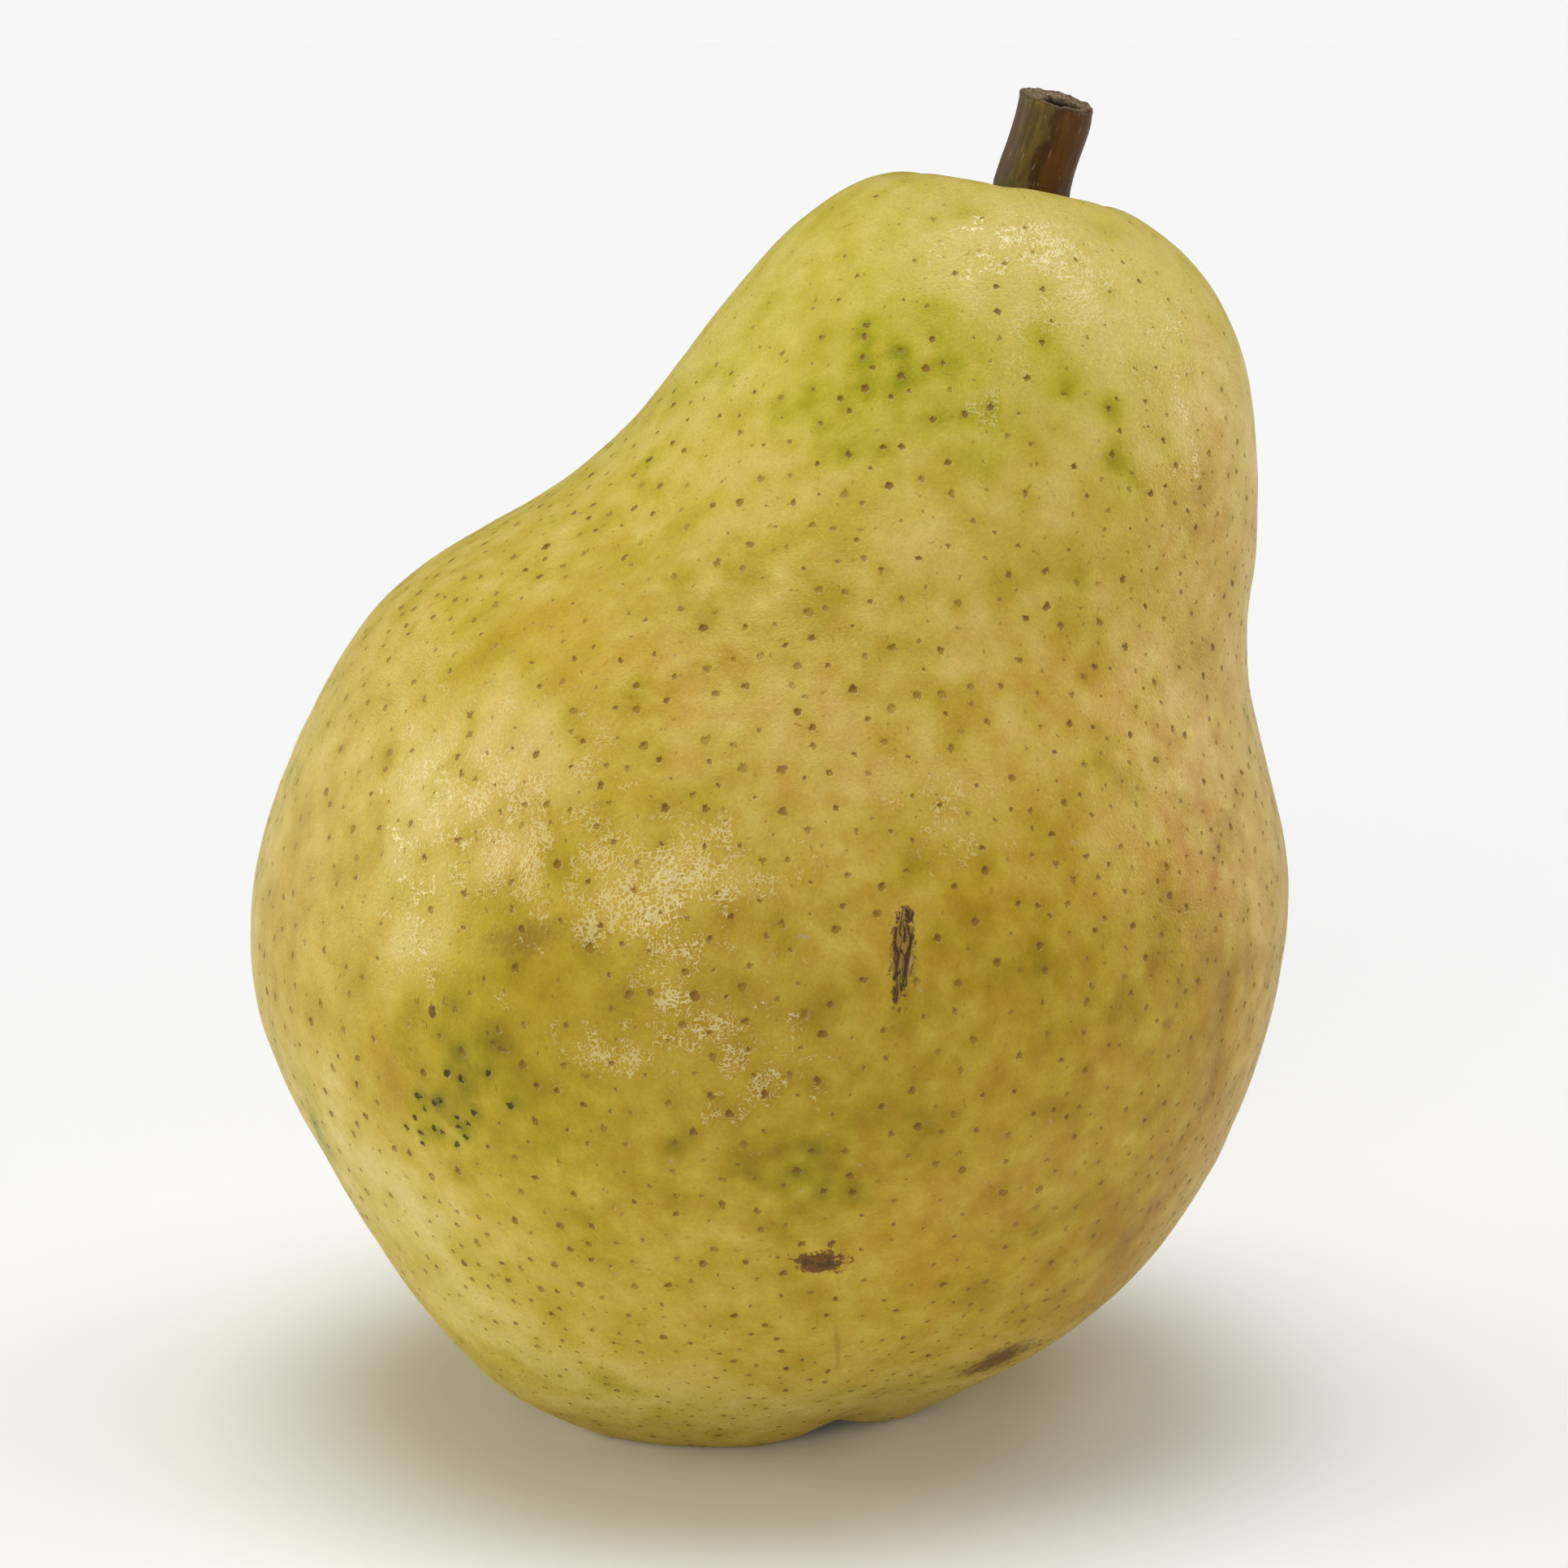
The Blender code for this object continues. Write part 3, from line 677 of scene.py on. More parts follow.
class Skin:
    """The fine skin while it is being made: its points, normals and what is painted on them."""

    def __init__(self):
        directions, self.faces, self.map_places = ball_grid()
        share = np.arccos(np.clip(-directions[:, 2], -1.0, 1.0)) / math.pi
        self.t = share - SKIN_CROWDING * np.sin(2.0 * math.pi * share) / (2.0 * math.pi)
        self.turn = np.arctan2(directions[:, 1], directions[:, 0])
        points = skin(self.t, self.turn)
        raised = skin(self.t, self.turn, 1.0)
        self.normals = raised - points
        middle = (points.min(axis=0) + points.max(axis=0)) / 2.0
        low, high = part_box("fruit")
        centre = (np.array(low) + np.array(high)) / 2.0 / MM
        self.shift = np.array([centre[0] - middle[0], centre[1] - middle[1], 0.0])
        self.points = points + self.shift
        self.height = np.zeros(len(points))
        self.warp = np.column_stack([self.patch_waves(offset) for offset in PATCH_WAVE_OFFSETS])
        self.tree = BVHTree.FromPolygons(self.points.tolist(), self.faces.tolist())
        self.near = kdtree.KDTree(len(points))
        for index, point in enumerate(self.points):
            self.near.insert(point, index)
        self.near.balance()
        names = ("golden", "green", "peach", "gloss", "halo", "green_halo")
        self.paint = {name: np.zeros(len(points)) for name in names}
        self.scar_place = np.tile(NO_SCAR, (len(points), 1))
        self.scar_kind = np.zeros((len(points), len(SCAR_KINDS)))

    def patch_waves(self, offset):
        """Noise that makes the outlines of the patches ragged."""
        return sum(height * wave_noise(self.points, size, offset) for size, height in PATCH_WAVES)

    def spot_at_pixel(self, x, y, tilt=0.0):
        """The surface frame under a pixel of the photograph, or at the nearest skin beside it."""
        origin, direction = pixel_ray(x, y)
        place, normal, _, _ = self.tree.ray_cast(origin, direction)
        if place is None:
            level = origin + direction * (CAMERA_DISTANCE * math.cos(math.radians(CAMERA_ELEVATION)))
            place, normal, _, _ = self.tree.find_nearest(level)
        return surface_frame(place, normal, tilt)

    def spot_at_turn(self, turn, share, tilt=0.0):
        """The surface frame at a turn in degrees and a share of the way up."""
        t = np.array([share])
        angle = np.array([math.radians(turn)])
        place, normal, _, _ = self.tree.find_nearest(Vector(skin(t, angle)[0] + self.shift))
        return surface_frame(place, normal, tilt)

    def within(self, place, radius):
        """Indices of the points near a place."""
        return np.array([index for _, index, _ in self.near.find_range(place, radius)], dtype=int)


def paint_patch(body, spot, half_width, half_height, kind, strength):
    """Adds one ragged patch of a tint."""
    near = body.within(spot[0], PATCH_REACH * max(half_width, half_height) + PATCH_MARGIN)
    ragged = min(half_width, half_height) * PATCH_RAGGEDNESS * body.warp[near]
    _, _, reach = spread_from(body.points[near] + ragged, spot, half_width, half_height)
    amount = strength * np.exp(-reach ** 2)
    if kind == "pale":
        for name, share in PALE_SHARES:
            body.paint[name][near] -= share * amount
    elif kind in ("golden", "peach"):
        body.paint[kind][near] += amount
    else:
        body.paint[kind][near] = 1.0 - (1.0 - body.paint[kind][near]) * (1.0 - np.minimum(amount, 1.0))


def paint_patches(body, draw):
    """The patches that the photograph shows, and others like them on the far side."""
    for kind, rows in PATCHES.items():
        for x, y, half_width, half_height, strength, *tilt in rows:
            spot = body.spot_at_pixel(x, y, *tilt)
            paint_patch(body, spot, half_width, half_height, kind, strength)
    hidden = np.flatnonzero(body.points[:, 1] > HIDDEN_FROM)
    for _ in range(HIDDEN_PATCHES):
        index = int(draw.choice(hidden))
        spot = surface_frame(Vector(body.points[index]), Vector(body.normals[index]).normalized())
        kind = draw.choice(HIDDEN_KINDS)
        size = draw.uniform(*(HIDDEN_SMALL if kind in ("green", "gloss") else HIDDEN_LARGE))
        flatness = draw.uniform(*HIDDEN_FLATNESS)
        paint_patch(body, spot, size, size * flatness, kind, draw.uniform(*HIDDEN_STRENGTH))


def paint_zones(body):
    """Slow changes of tint over the whole fruit."""
    zones = {name: soft_step(low, high, body.points[:, axis]) for name, (axis, low, high) in ZONES.items()}
    zones["all"] = 1.0
    zones["right_waist"] = zones["right"] * zones["waist"]
    zones["belly"] = zones["middle"] * (1.0 - zones["low"]) * zones["inner"]
    for pigment, amounts in ZONE_TINTS.items():
        for zone, amount in amounts.items():
            body.paint[pigment] += amount * zones[zone]
    for number, (size, amount) in enumerate(MOTTLES):
        body.paint["golden"] += amount * wave_noise(body.points, size, 60.0 + 11.0 * number)


def paint_scar(body, spot, half_width, half_length, kind, strength, depth):
    """Dents the skin and tells the points near a scar where in it they are."""
    near = body.within(spot[0], SCAR_AREA * max(half_width, half_length))
    across, upward, reach = spread_from(body.points[near], spot, half_width, half_length)
    body.height[near] -= depth * np.exp(-reach ** 2)
    for margin in SCAR_MARGINS:
        inner = np.abs(across) < SCAR_REACH + margin / half_width
        inner &= np.abs(upward) < SCAR_REACH + margin / half_length
        chosen = near[inner]
        body.scar_place[chosen, 0] = across[inner]
        body.scar_place[chosen, 1] = upward[inner]
        body.scar_kind[chosen] = 0.0
    body.scar_kind[chosen, SCAR_KINDS.index(kind)] = strength


def paint_scars(body):
    """The marks that the photograph shows, and others like them on the far side."""
    for rows, spot_at in ((SCARS, body.spot_at_pixel), (HIDDEN_SCARS, body.spot_at_turn)):
        for first, second, half_width, half_length, tilt, kind, strength, depth in rows:
            spot = spot_at(first, second, tilt)
            paint_scar(body, spot, half_width, half_length, kind, strength, depth)


def spot_spacing(place):
    """Distance between lenticels and their size at a place, as shares of the usual ones."""
    top, right, low = [float(soft_step(start, full, place[axis])) for axis, start, full in SPOT_ZONES]
    spacing = np.dot(SPACING_SHARES, (1.0, top, right * (1.0 - top), low))
    radius = np.dot(RADIUS_SHARES, (1.0, top, right, low))
    return float(spacing), float(radius)


def scatter_spots(body, draw):
    """The lenticels: place, radius, strength, orange (1) or black (-1), and the nearest point."""
    cell = SPOT_SPACING * 2.0
    taken = {}
    spots = []

    def clear(place, distance):
        """Takes a place, unless another one is nearer to it than the distance."""
        key = tuple(int(math.floor(c / cell)) for c in place)
        for dx in (-1, 0, 1):
            for dy in (-1, 0, 1):
                for dz in (-1, 0, 1):
                    for other in taken.get((key[0] + dx, key[1] + dy, key[2] + dz), ()):
                        if (other - place).length < distance:
                            return False
        taken.setdefault(key, []).append(place)
        return True

    for pixels, radii, strength, orange in PLACED_SPOTS:
        for x, y in pixels:
            place = body.spot_at_pixel(x, y)[0]
            clear(place, 0.0)
            spots.append((place, draw.uniform(*radii), strength, orange, body.near.find(place)[1]))
    order = list(range(len(body.points)))
    draw.shuffle(order)
    for index in order:
        place = Vector(body.points[index])
        if not SPOT_SHARES[0] <= body.t[index] <= SPOT_SHARES[1]:
            continue
        spacing, size = spot_spacing(place)
        distance = SPOT_SPACING * spacing * draw.uniform(*SPOT_SPACING_SPREAD)
        if not clear(place, distance):
            continue
        normal = Vector(body.normals[index]).normalized()
        _, right, up, _ = surface_frame(place, normal)
        place = place + right * draw.uniform(-SPOT_JITTER, SPOT_JITTER)
        place = place + up * draw.uniform(-SPOT_JITTER, SPOT_JITTER)
        radius = SPOT_RADIUS * size * draw.uniform(*SPOT_RADIUS_SPREAD)
        strength = draw.uniform(*SPOT_STRENGTH)
        orange = 1.0 if draw.random() < ORANGE_SPOTS else draw.uniform(*BROWN_SPREAD)
        if orange == 1.0:
            radius *= ORANGE_SIZE
        spots.append((place, radius, strength, orange, index))
    return spots


def paint_spots(body, spots, draw):
    """Halos and dips round the lenticels; returns what each face needs to draw the nearest one."""
    near = kdtree.KDTree(len(spots))
    for index, spot in enumerate(spots):
        place = spot[0]
        near.insert(place, index)
        leafy = (body.paint["green"][spot[4]] - LEAFY_FROM) * LEAFY_RISE
        green = float(np.clip(leafy, 0.0, 1.0)) if spot[3] >= 0.0 else 1.0
        radius = draw.uniform(*HALO_RADIUS) * (1.0 - LEAFY_SHRINK * green)
        around = body.within(place, HALO_REACH * radius)
        distance = np.linalg.norm(body.points[around] - np.array(place), axis=1)
        size = spot[1] / SPOT_RADIUS
        strength = size * draw.uniform(*HALO_STRENGTH) * (1.0 + LEAFY_GAIN * green)
        chance = GREEN_HALO_CHANCE + (1.0 - GREEN_HALO_CHANCE) * green
        name = "green_halo" if draw.random() < chance else "halo"
        body.paint[name][around] += strength * np.exp(-(distance / radius) ** 2)
        dip = SPOT_DIP * size * draw.uniform(*SPOT_DIP_SPREAD)
        body.height[around] -= dip * np.exp(-(distance / SPOT_DIP_RADIUS) ** 2)
    body.paint["green_halo"] = np.minimum(body.paint["green_halo"], GREEN_HALO_LIMIT)
    near.balance()
    centres = body.points[body.faces].mean(axis=1)
    found = [near.find(centre)[1] for centre in centres]
    places = np.array([list(spot[0]) for spot in spots])[found]
    looks = np.array([spot[1:4] for spot in spots])[found]
    return places, looks


def skin_waves(body):
    """Raises the unevenness of the skin, and lowers the folds and dents round the stem."""
    for number, (size, height) in enumerate(SKIN_WAVES):
        body.height += height * wave_noise(body.points, size, 3.0 + 7.0 * number)
    fold = soft_step(FOLD_START, FOLD_MIDDLE, body.t) * soft_step(1.0, FOLD_END, body.t)
    for angle, depth, half_angle in STEM_FOLDS:
        off = turn_from(body.turn, angle) / half_angle
        body.height -= depth * np.exp(-off ** 2) * fold
    for x, y, half_width, half_height, tilt, depth in DENTS:
        spot = body.spot_at_pixel(x, y, tilt)
        body.height -= depth * np.exp(-spread_from(body.points, spot, half_width, half_height)[2] ** 2)


def make_skin():
    """The painted fine skin, and what later pieces need to know of it."""
    draw = random.Random(SEED)
    body = Skin()
    paint_zones(body)
    paint_patches(body, draw)
    skin_waves(body)
    spots = scatter_spots(body, draw)
    spot_places, spot_looks = paint_spots(body, spots, draw)
    paint_scars(body)
    points = body.points + body.normals * body.height[:, None]
    points[:, 2] = np.maximum(points[:, 2], 0.0)
    obj = mesh_object("pear_skin", points, body.faces, skin_material())
    mesh = obj.data
    paint = body.paint
    store(mesh, "tint", np.column_stack([paint["golden"], paint["green"], paint["peach"]]))
    store(mesh, "halo", np.column_stack([paint["halo"], paint["green_halo"], paint["gloss"]]))
    store(mesh, "scar_place", body.scar_place)
    store(mesh, "scar_kind", body.scar_kind)
    store(mesh, "spot_place", spot_places, "FACE")
    store(mesh, "spot_look", spot_looks, "FACE")
    layer = mesh.uv_layers.new(name="OFBake")
    layer.uv.foreach_set("vector", body.map_places.reshape(-1, 2).astype(np.float32).ravel())
    return obj, body


# Materials

class Value:
    """A result in a shader tree, which takes part in sums as a number or a triple does."""

    def __init__(self, nodes, socket):
        self.nodes = nodes
        self.socket = socket

    def __add__(self, other):
        return self.nodes.combine("ADD", self, other)

    def __sub__(self, other):
        return self.nodes.combine("SUBTRACT", self, other)

    def __mul__(self, other):
        return self.nodes.combine("MULTIPLY", self, other)

    __radd__ = __add__
    __rmul__ = __mul__

    def __abs__(self):
        return self.nodes.math("ABSOLUTE", self, 0.0)

    def parts(self):
        """The three numbers of a triple."""
        node = self.nodes.add("ShaderNodeSeparateXYZ")
        self.nodes.feed(node.inputs[0], self)
        return [Value(self.nodes, socket) for socket in node.outputs]


def is_triple(item):
    return isinstance(item, tuple) or isinstance(item, Value) and item.socket.type in ("VECTOR", "RGBA")


class Nodes:
    """Short calls for the nodes of one shader tree."""

    def __init__(self, tree):
        self.tree = tree

    def add(self, kind, **settings):
        node = self.tree.nodes.new(kind)
        for name, value in settings.items():
            setattr(node, name, value)
        return node

    def feed(self, socket, value):
        """Links a result to a socket, or sets the socket's own value."""
        if isinstance(value, Value):
            self.tree.links.new(value.socket, socket)
        elif isinstance(value, tuple) and socket.type == "RGBA":
            socket.default_value = (*value, 1.0)
        else:
            socket.default_value = value

    def made(self, node, inputs, output=0):
        """A node's result, once its inputs are fed; the keys are names or numbers of sockets."""
        for key, value in inputs.items():
            self.feed(node.inputs[key], value)
        return Value(self, node.outputs[output])

    def math(self, operation, first, second):
        return self.made(self.add("ShaderNodeMath", operation=operation), {0: first, 1: second})

    def vector(self, operation, first, second=(0.0, 0.0, 0.0)):
        node = self.add("ShaderNodeVectorMath", operation=operation)
        output = "Value" if operation in ("LENGTH", "DOT_PRODUCT") else 0
        return self.made(node, {0: first, 1: second}, output)

    def scale(self, vector, factor):
        node = self.add("ShaderNodeVectorMath", operation="SCALE")
        return self.made(node, {0: vector, "Scale": factor})

    def combine(self, operation, first, second):
        """A sum on two numbers or two triples, or a triple scaled by a number."""
        if is_triple(first) and is_triple(second):
            return self.vector(operation, first, second)
        if is_triple(first):
            return self.scale(first, second)
        return self.math(operation, first, second)

    def noise(self, place, size, detail=2.0, roughness=0.5):
        """Noise round 0, with patches of about the given size."""
        settings = {"Vector": place, "Scale": 1.0 / size, "Detail": detail, "Roughness": roughness}
        return self.made(self.add("ShaderNodeTexNoise"), settings) - 0.5

    def smooth(self, value, low, high):
        """0 at low and 1 at high, smooth between; low may be the higher one."""
        node = self.add("ShaderNodeMapRange", interpolation_type="SMOOTHSTEP", clamp=True)
        ends = (low, high, 0.0, 1.0) if low < high else (high, low, 1.0, 0.0)
        names = ("From Min", "From Max", "To Min", "To Max")
        return self.made(node, {"Value": value, **dict(zip(names, ends))}, "Result")

    def clamped(self, value):
        return self.made(self.add("ShaderNodeClamp"), {"Value": value})

    def mix(self, share, first, second):
        node = self.add("ShaderNodeMix", data_type="RGBA", clamp_factor=True)
        return self.made(node, {0: share, 6: first, 7: second}, 2)

    def ramp(self, value, stops):
        node = self.add("ShaderNodeValToRGB")
        elements = node.color_ramp.elements
        while len(elements) < len(stops):
            elements.new(0.5)
        for element, (position, colour) in zip(elements, stops):
            element.position = position
            element.color = (*colour, 1.0)
        return self.made(node, {0: value})

    def attribute(self, name):
        return self.made(self.add("ShaderNodeAttribute", attribute_name=name), {}, "Vector")

    def place(self):
        """Object coordinates in millimetres."""
        return self.made(self.add("ShaderNodeTexCoord"), {}, "Object") * (1.0 / MM)


def new_material(name):
    material = bpy.data.materials.new(name)
    material.use_nodes = True
    return material, Nodes(material.node_tree)


def finish_material(material, nodes, height, values):
    """Feeds the shader's inputs by name, and its bump from a height in millimetres, if there is one."""
    inputs = material.node_tree.nodes["Principled BSDF"].inputs
    if height is not None:
        bump = nodes.made(nodes.add("ShaderNodeBump"), {"Strength": 1.0, "Distance": MM, "Height": height})
        values = {**values, "Normal": bump, "Coat Normal": bump}
    for name, value in values.items():
        nodes.feed(inputs[name], value)
    return material


def flesh_tint(nodes, place, middle, tints, halos):
    """The skin's ground colour: pale skin seen through golden, olive, green and peach pigments."""
    golden, green, peach = tints
    halo, green_halo = halos
    fine = nodes.noise(place, 0.6, 0.0)
    broken = 1.0 + 1.8 * middle
    pigments = (
        (GOLDEN_PIGMENT, golden + 0.3 * middle + 0.15 * fine),
        (OLIVE_PIGMENT, halo + 0.25 * middle + 0.2 * fine),
        (GREEN_PIGMENT, 0.8 * (green + green_halo) * broken),
        (PEACH_PIGMENT, peach * broken),
    )
    absorbed = (0.0, 0.0, 0.0)
    for pigment, amount in pigments:
        absorbed = nodes.scale(pigment, nodes.math("MAXIMUM", amount, 0.0)) + absorbed
    passed = [nodes.math("EXPONENT", -1.0 * part, 0.0) for part in absorbed.parts()]
    return nodes.made(nodes.add("ShaderNodeCombineXYZ"), dict(enumerate(passed))) * BARE_SKIN


def spot_shapes(nodes, place):
    """Masks of the lenticels: body, painted shade, painted rim glint, dip; and their orange or black share.
    """
    centre = nodes.attribute("spot_place")
    radius, strength, orange = nodes.attribute("spot_look").parts()
    offset = place - centre
    direction = nodes.vector("NORMALIZE", offset)
    length = nodes.vector("LENGTH", offset)
    wobble = nodes.noise(3.1 * centre + 0.85 * direction, 1.0, 1.0)
    crumbs = nodes.noise(place, 0.13, 0.0)
    distance = length - radius * (1.0 + 1.7 * wobble) + 0.2 * crumbs
    body = nodes.smooth(distance, 0.045, -0.045) * strength
    ring = nodes.smooth(distance, 0.12, 0.05) * nodes.smooth(distance, -0.01, 0.04)
    # A fixed direction of painted light: each lenticel gets a painted glint on the rim facing it and
    # painted shade, broken by crumbs, on the side away from it
    lit = nodes.vector("DOT_PRODUCT", direction, (0.6, -0.3, -0.74))
    painted_rim_glint = ring * nodes.smooth(lit, 0.2, 0.9) * nodes.smooth(crumbs, -0.15, 0.1) * strength
    painted_spot_shade = nodes.clamped(body * (nodes.smooth(lit, 0.3, -0.8) + 1.6 * crumbs))
    hollow = nodes.smooth(distance, -0.06, -0.16) * nodes.smooth(orange, 0.2, 0.8)
    dip = nodes.smooth(length - radius, 0.10, -0.10)
    return nodes.clamped(body - 0.45 * hollow), painted_spot_shade, painted_rim_glint, dip, orange


def scar_shapes(nodes, ragged):
    """Masks of the scars: cork, its dark cracks and pale fibres, russet and bruise."""
    where = nodes.attribute("scar_place")
    crack, russet, bruise = nodes.attribute("scar_kind").parts()
    fibres = nodes.noise(where * (2.1, 1.5, 1.0), 1.0, 1.0, 0.7)
    length = nodes.vector("LENGTH", where)
    inside = nodes.smooth(length, 1.4, 1.1)
    reach = length + 1.7 * ragged
    cork = nodes.smooth(reach, 1.05, 0.75) * crack
    strand = nodes.smooth(abs(abs(where.parts()[0] + 1.3 * fibres) - 0.42), 0.22, 0.04)
    net = nodes.smooth(abs(fibres + 0.35 * ragged), 0.07, 0.02)
    dark = nodes.math("MAXIMUM", strand, net) * cork
    pale = nodes.smooth(fibres, 0.16, 0.24) * cork
    blotch = nodes.smooth(reach, 0.9, 0.65) * russet * inside
    brown = nodes.smooth(reach, 1.15, 0.3) * bruise * inside
    return cork, dark, pale, blotch, brown


def skin_material():
    """Waxy skin: pigments, halos, lenticels with painted shade and glints, specks and scars, with fine
    wrinkles in the wax, whose pale flecks paint glints.
    """
    material, nodes = new_material("pear_skin")
    place = nodes.place()
    halo, green_halo, gloss = nodes.attribute("halo").parts()
    middle = nodes.noise(place, 1.9, 1.0, 0.6)
    ragged = nodes.noise(place, 0.6, 2.0, 0.75)
    colour = flesh_tint(nodes, place, middle, nodes.attribute("tint").parts(), (halo, green_halo))
    colour = colour * (1.0 + 0.22 * nodes.noise(place, 0.22, 0.0))
    specks = nodes.smooth(nodes.noise(place + (31.0, 7.0, 3.0), 0.42, 0.0), 0.28, 0.33)
    scuffs = nodes.smooth(nodes.noise(place + (-5.0, 17.0, 29.0), 0.8, 1.0, 0.8), 0.25, 0.31)

    body, painted_spot_shade, painted_rim_glint, dip, orange = spot_shapes(nodes, place)
    corky = nodes.mix(orange, SPOT_BROWN, SPOT_ORANGE)
    corky = nodes.mix(nodes.smooth(orange, -0.2, -0.8), corky, SPOT_BLACK)
    cork, dark, pale, blotch, brown = scar_shapes(nodes, ragged)
    burnt = nodes.mix(nodes.smooth(ragged, -0.05, 0.12), RUSSET, SCAR_DARK)

    wrinkles = abs(nodes.noise(place, 0.25, 0.0))
    broken = middle + 0.8 * ragged
    # The wax gives the clear coat, and its pale flecks along the wrinkles paint glints
    wax_and_painted_glint = gloss - 0.35 * halo - 0.4 * green_halo + 1.9 * broken - 4.5 * wrinkles
    wax_and_painted_glint = nodes.smooth(wax_and_painted_glint, 0.02, 0.20) * nodes.smooth(gloss, 0.02, 0.12) * nodes.smooth(body, 0.5, 0.1)

    layers = (
        (specks, 0.5, SPOT_ORANGE), (scuffs, 0.35, SCUFF), (body, 0.9, corky), (painted_spot_shade, 0.6, SPOT_PAINTED_SHADE),
        (painted_rim_glint, 0.45, SPOT_PAINTED_GLINT), (brown, 0.9, BRUISE), (blotch, 0.92, burnt), (cork, 0.8, SCAR_TAN),
        (dark, 0.92, SCAR_DARK), (pale, 0.45, SCAR_FIBRE), (wax_and_painted_glint, 0.36, WAX_AND_PAINTED_GLINT),
    )
    for mask, strength, layer in layers:
        colour = nodes.mix(strength * mask, colour, layer)
    pits = nodes.noise(place, 1.0, 0.0)
    return finish_material(material, nodes, 0.07 * pits - WRINKLE_HEIGHT * wrinkles - 0.035 * dip, {
        "Base Color": colour,
        "Coat Weight": wax_and_painted_glint,
        "Coat Roughness": WAX_ROUGHNESS,
        "Specular IOR Level": SKIN_SPECULAR,
        "Roughness": SKIN_ROUGHNESS + 0.2 * body + 0.25 * cork + 0.1 * brown + 0.1 * broken,
    })


def bark_material():
    """Smooth dark bark: olive to the left, red-brown to the right, with short pale flecks."""
    material, nodes = new_material("stem_bark")
    straight = nodes.attribute("bark_place")
    level = straight.parts()[2]
    # The bottom of the hollow of the cut is painted near black: dark pith with painted shade
    side, cut, pith_and_painted_shade = nodes.attribute("bark_look").parts()
    streaks = nodes.noise(straight * (1.0, 1.0, 0.16), 0.42, 3.0, 0.6)
    clouds = nodes.noise(straight, 1.5)
    fibres = nodes.noise(straight, 0.22, 3.0, 0.7)
    flecks = nodes.smooth(nodes.noise(straight * (1.0, 1.0, 0.2), 0.14, 1.0), 0.19, 0.27)
    wide = side + 0.6 * clouds + 0.6 * streaks
    foot = nodes.smooth(level, 1.8, 0.2) * nodes.smooth(wide, 0.45, 0.1)
    grey = nodes.smooth(level, 5.4, 6.6) * nodes.smooth(clouds, -0.1, 0.12)
    colour = nodes.mix(0.7 * foot, nodes.ramp(wide, BARK_RAMP), BARK_FOOT) * (1.0 + streaks)
    colour = nodes.mix(0.65 * flecks, colour, BARK_FLECK)
    colour = nodes.mix(0.45 * grey, colour, BARK_RIM)
    colour = nodes.mix(cut, colour, nodes.ramp(fibres + 0.5, WOOD_RAMP))
    return finish_material(material, nodes, 0.10 * streaks + 0.02 * fibres + 0.02 * flecks, {
        "Base Color": nodes.mix(pith_and_painted_shade, colour, PITH_AND_PAINTED_SHADE),
        "Roughness": 0.5 + 0.3 * streaks + 0.3 * cut + 0.15 * flecks,
        "Specular IOR Level": BARK_SPECULAR,
    })


def sepal_material():
    """Dry, papery brown in patches and fine fibres, paler on the sepals than on the cup and stamens."""
    material, nodes = new_material("calyx_dry")
    place = nodes.place()
    look = nodes.attribute("dry_look").parts()[0]
    patches = nodes.noise(place, 0.9, 3.0, 0.6)
    fibres = nodes.noise(place, 0.18, 2.0, 0.6)
    return finish_material(material, nodes, 0.08 * patches + 0.05 * fibres, {
        "Base Color": nodes.ramp(0.6 * look + 0.9 * patches + 0.5 * fibres, SEPAL_RAMP),
        "Roughness": 0.82 + 0.2 * patches,
    })


# The stem

def stem_ring(centre, radii, angles, part):
    """A girdle of the stem, which turns to the front part way from the foot (0) to the cut top (1)."""
    drop_right = math.tan(math.radians(STEM_LEAN_RIGHT))
    drop_front = math.tan(math.radians(STEM_LEAN_FRONT)) * max(part, 0.0)
    x = np.cos(angles)
    y = np.sin(angles)
    unit = np.column_stack([x, y, drop_front * y - drop_right * x])
    return np.array(centre) + unit * np.asarray(radii)[:, None]


def stem_middle(part):
    """Centre and radius of the stem at a part of its length; below 0 it runs on straight."""
    rows = np.array(STEM_GIRDLES)
    shares = np.linspace(0.0, 1.0, len(rows))
    curves = [np.polyfit(shares, column, STEM_CURVE_DEGREE) for column in rows.T]
    values = np.array([np.polyval(curve, max(part, 0.0)) for curve in curves])
    if part < 0.0:
        ahead = np.array([np.polyval(curve, STEM_STEP) for curve in curves])
        values[:3] += (ahead - values)[:3] / STEM_STEP * part
        values[3] += STEM_ROOT_FLARE * part * part / STEM_ROOT ** 2
    return values[:3], values[3]


def ring_noise(angles, height, size, stretch, offset):
    """Noise round a ring, which changes slowly along the stem."""
    values = []
    for angle in angles:
        spot = Vector((math.cos(angle) * 2.4, math.sin(angle) * 2.4, height / stretch))
        values.append(noise.noise(spot / size + Vector((offset, -offset, offset))))
    return np.array(values)


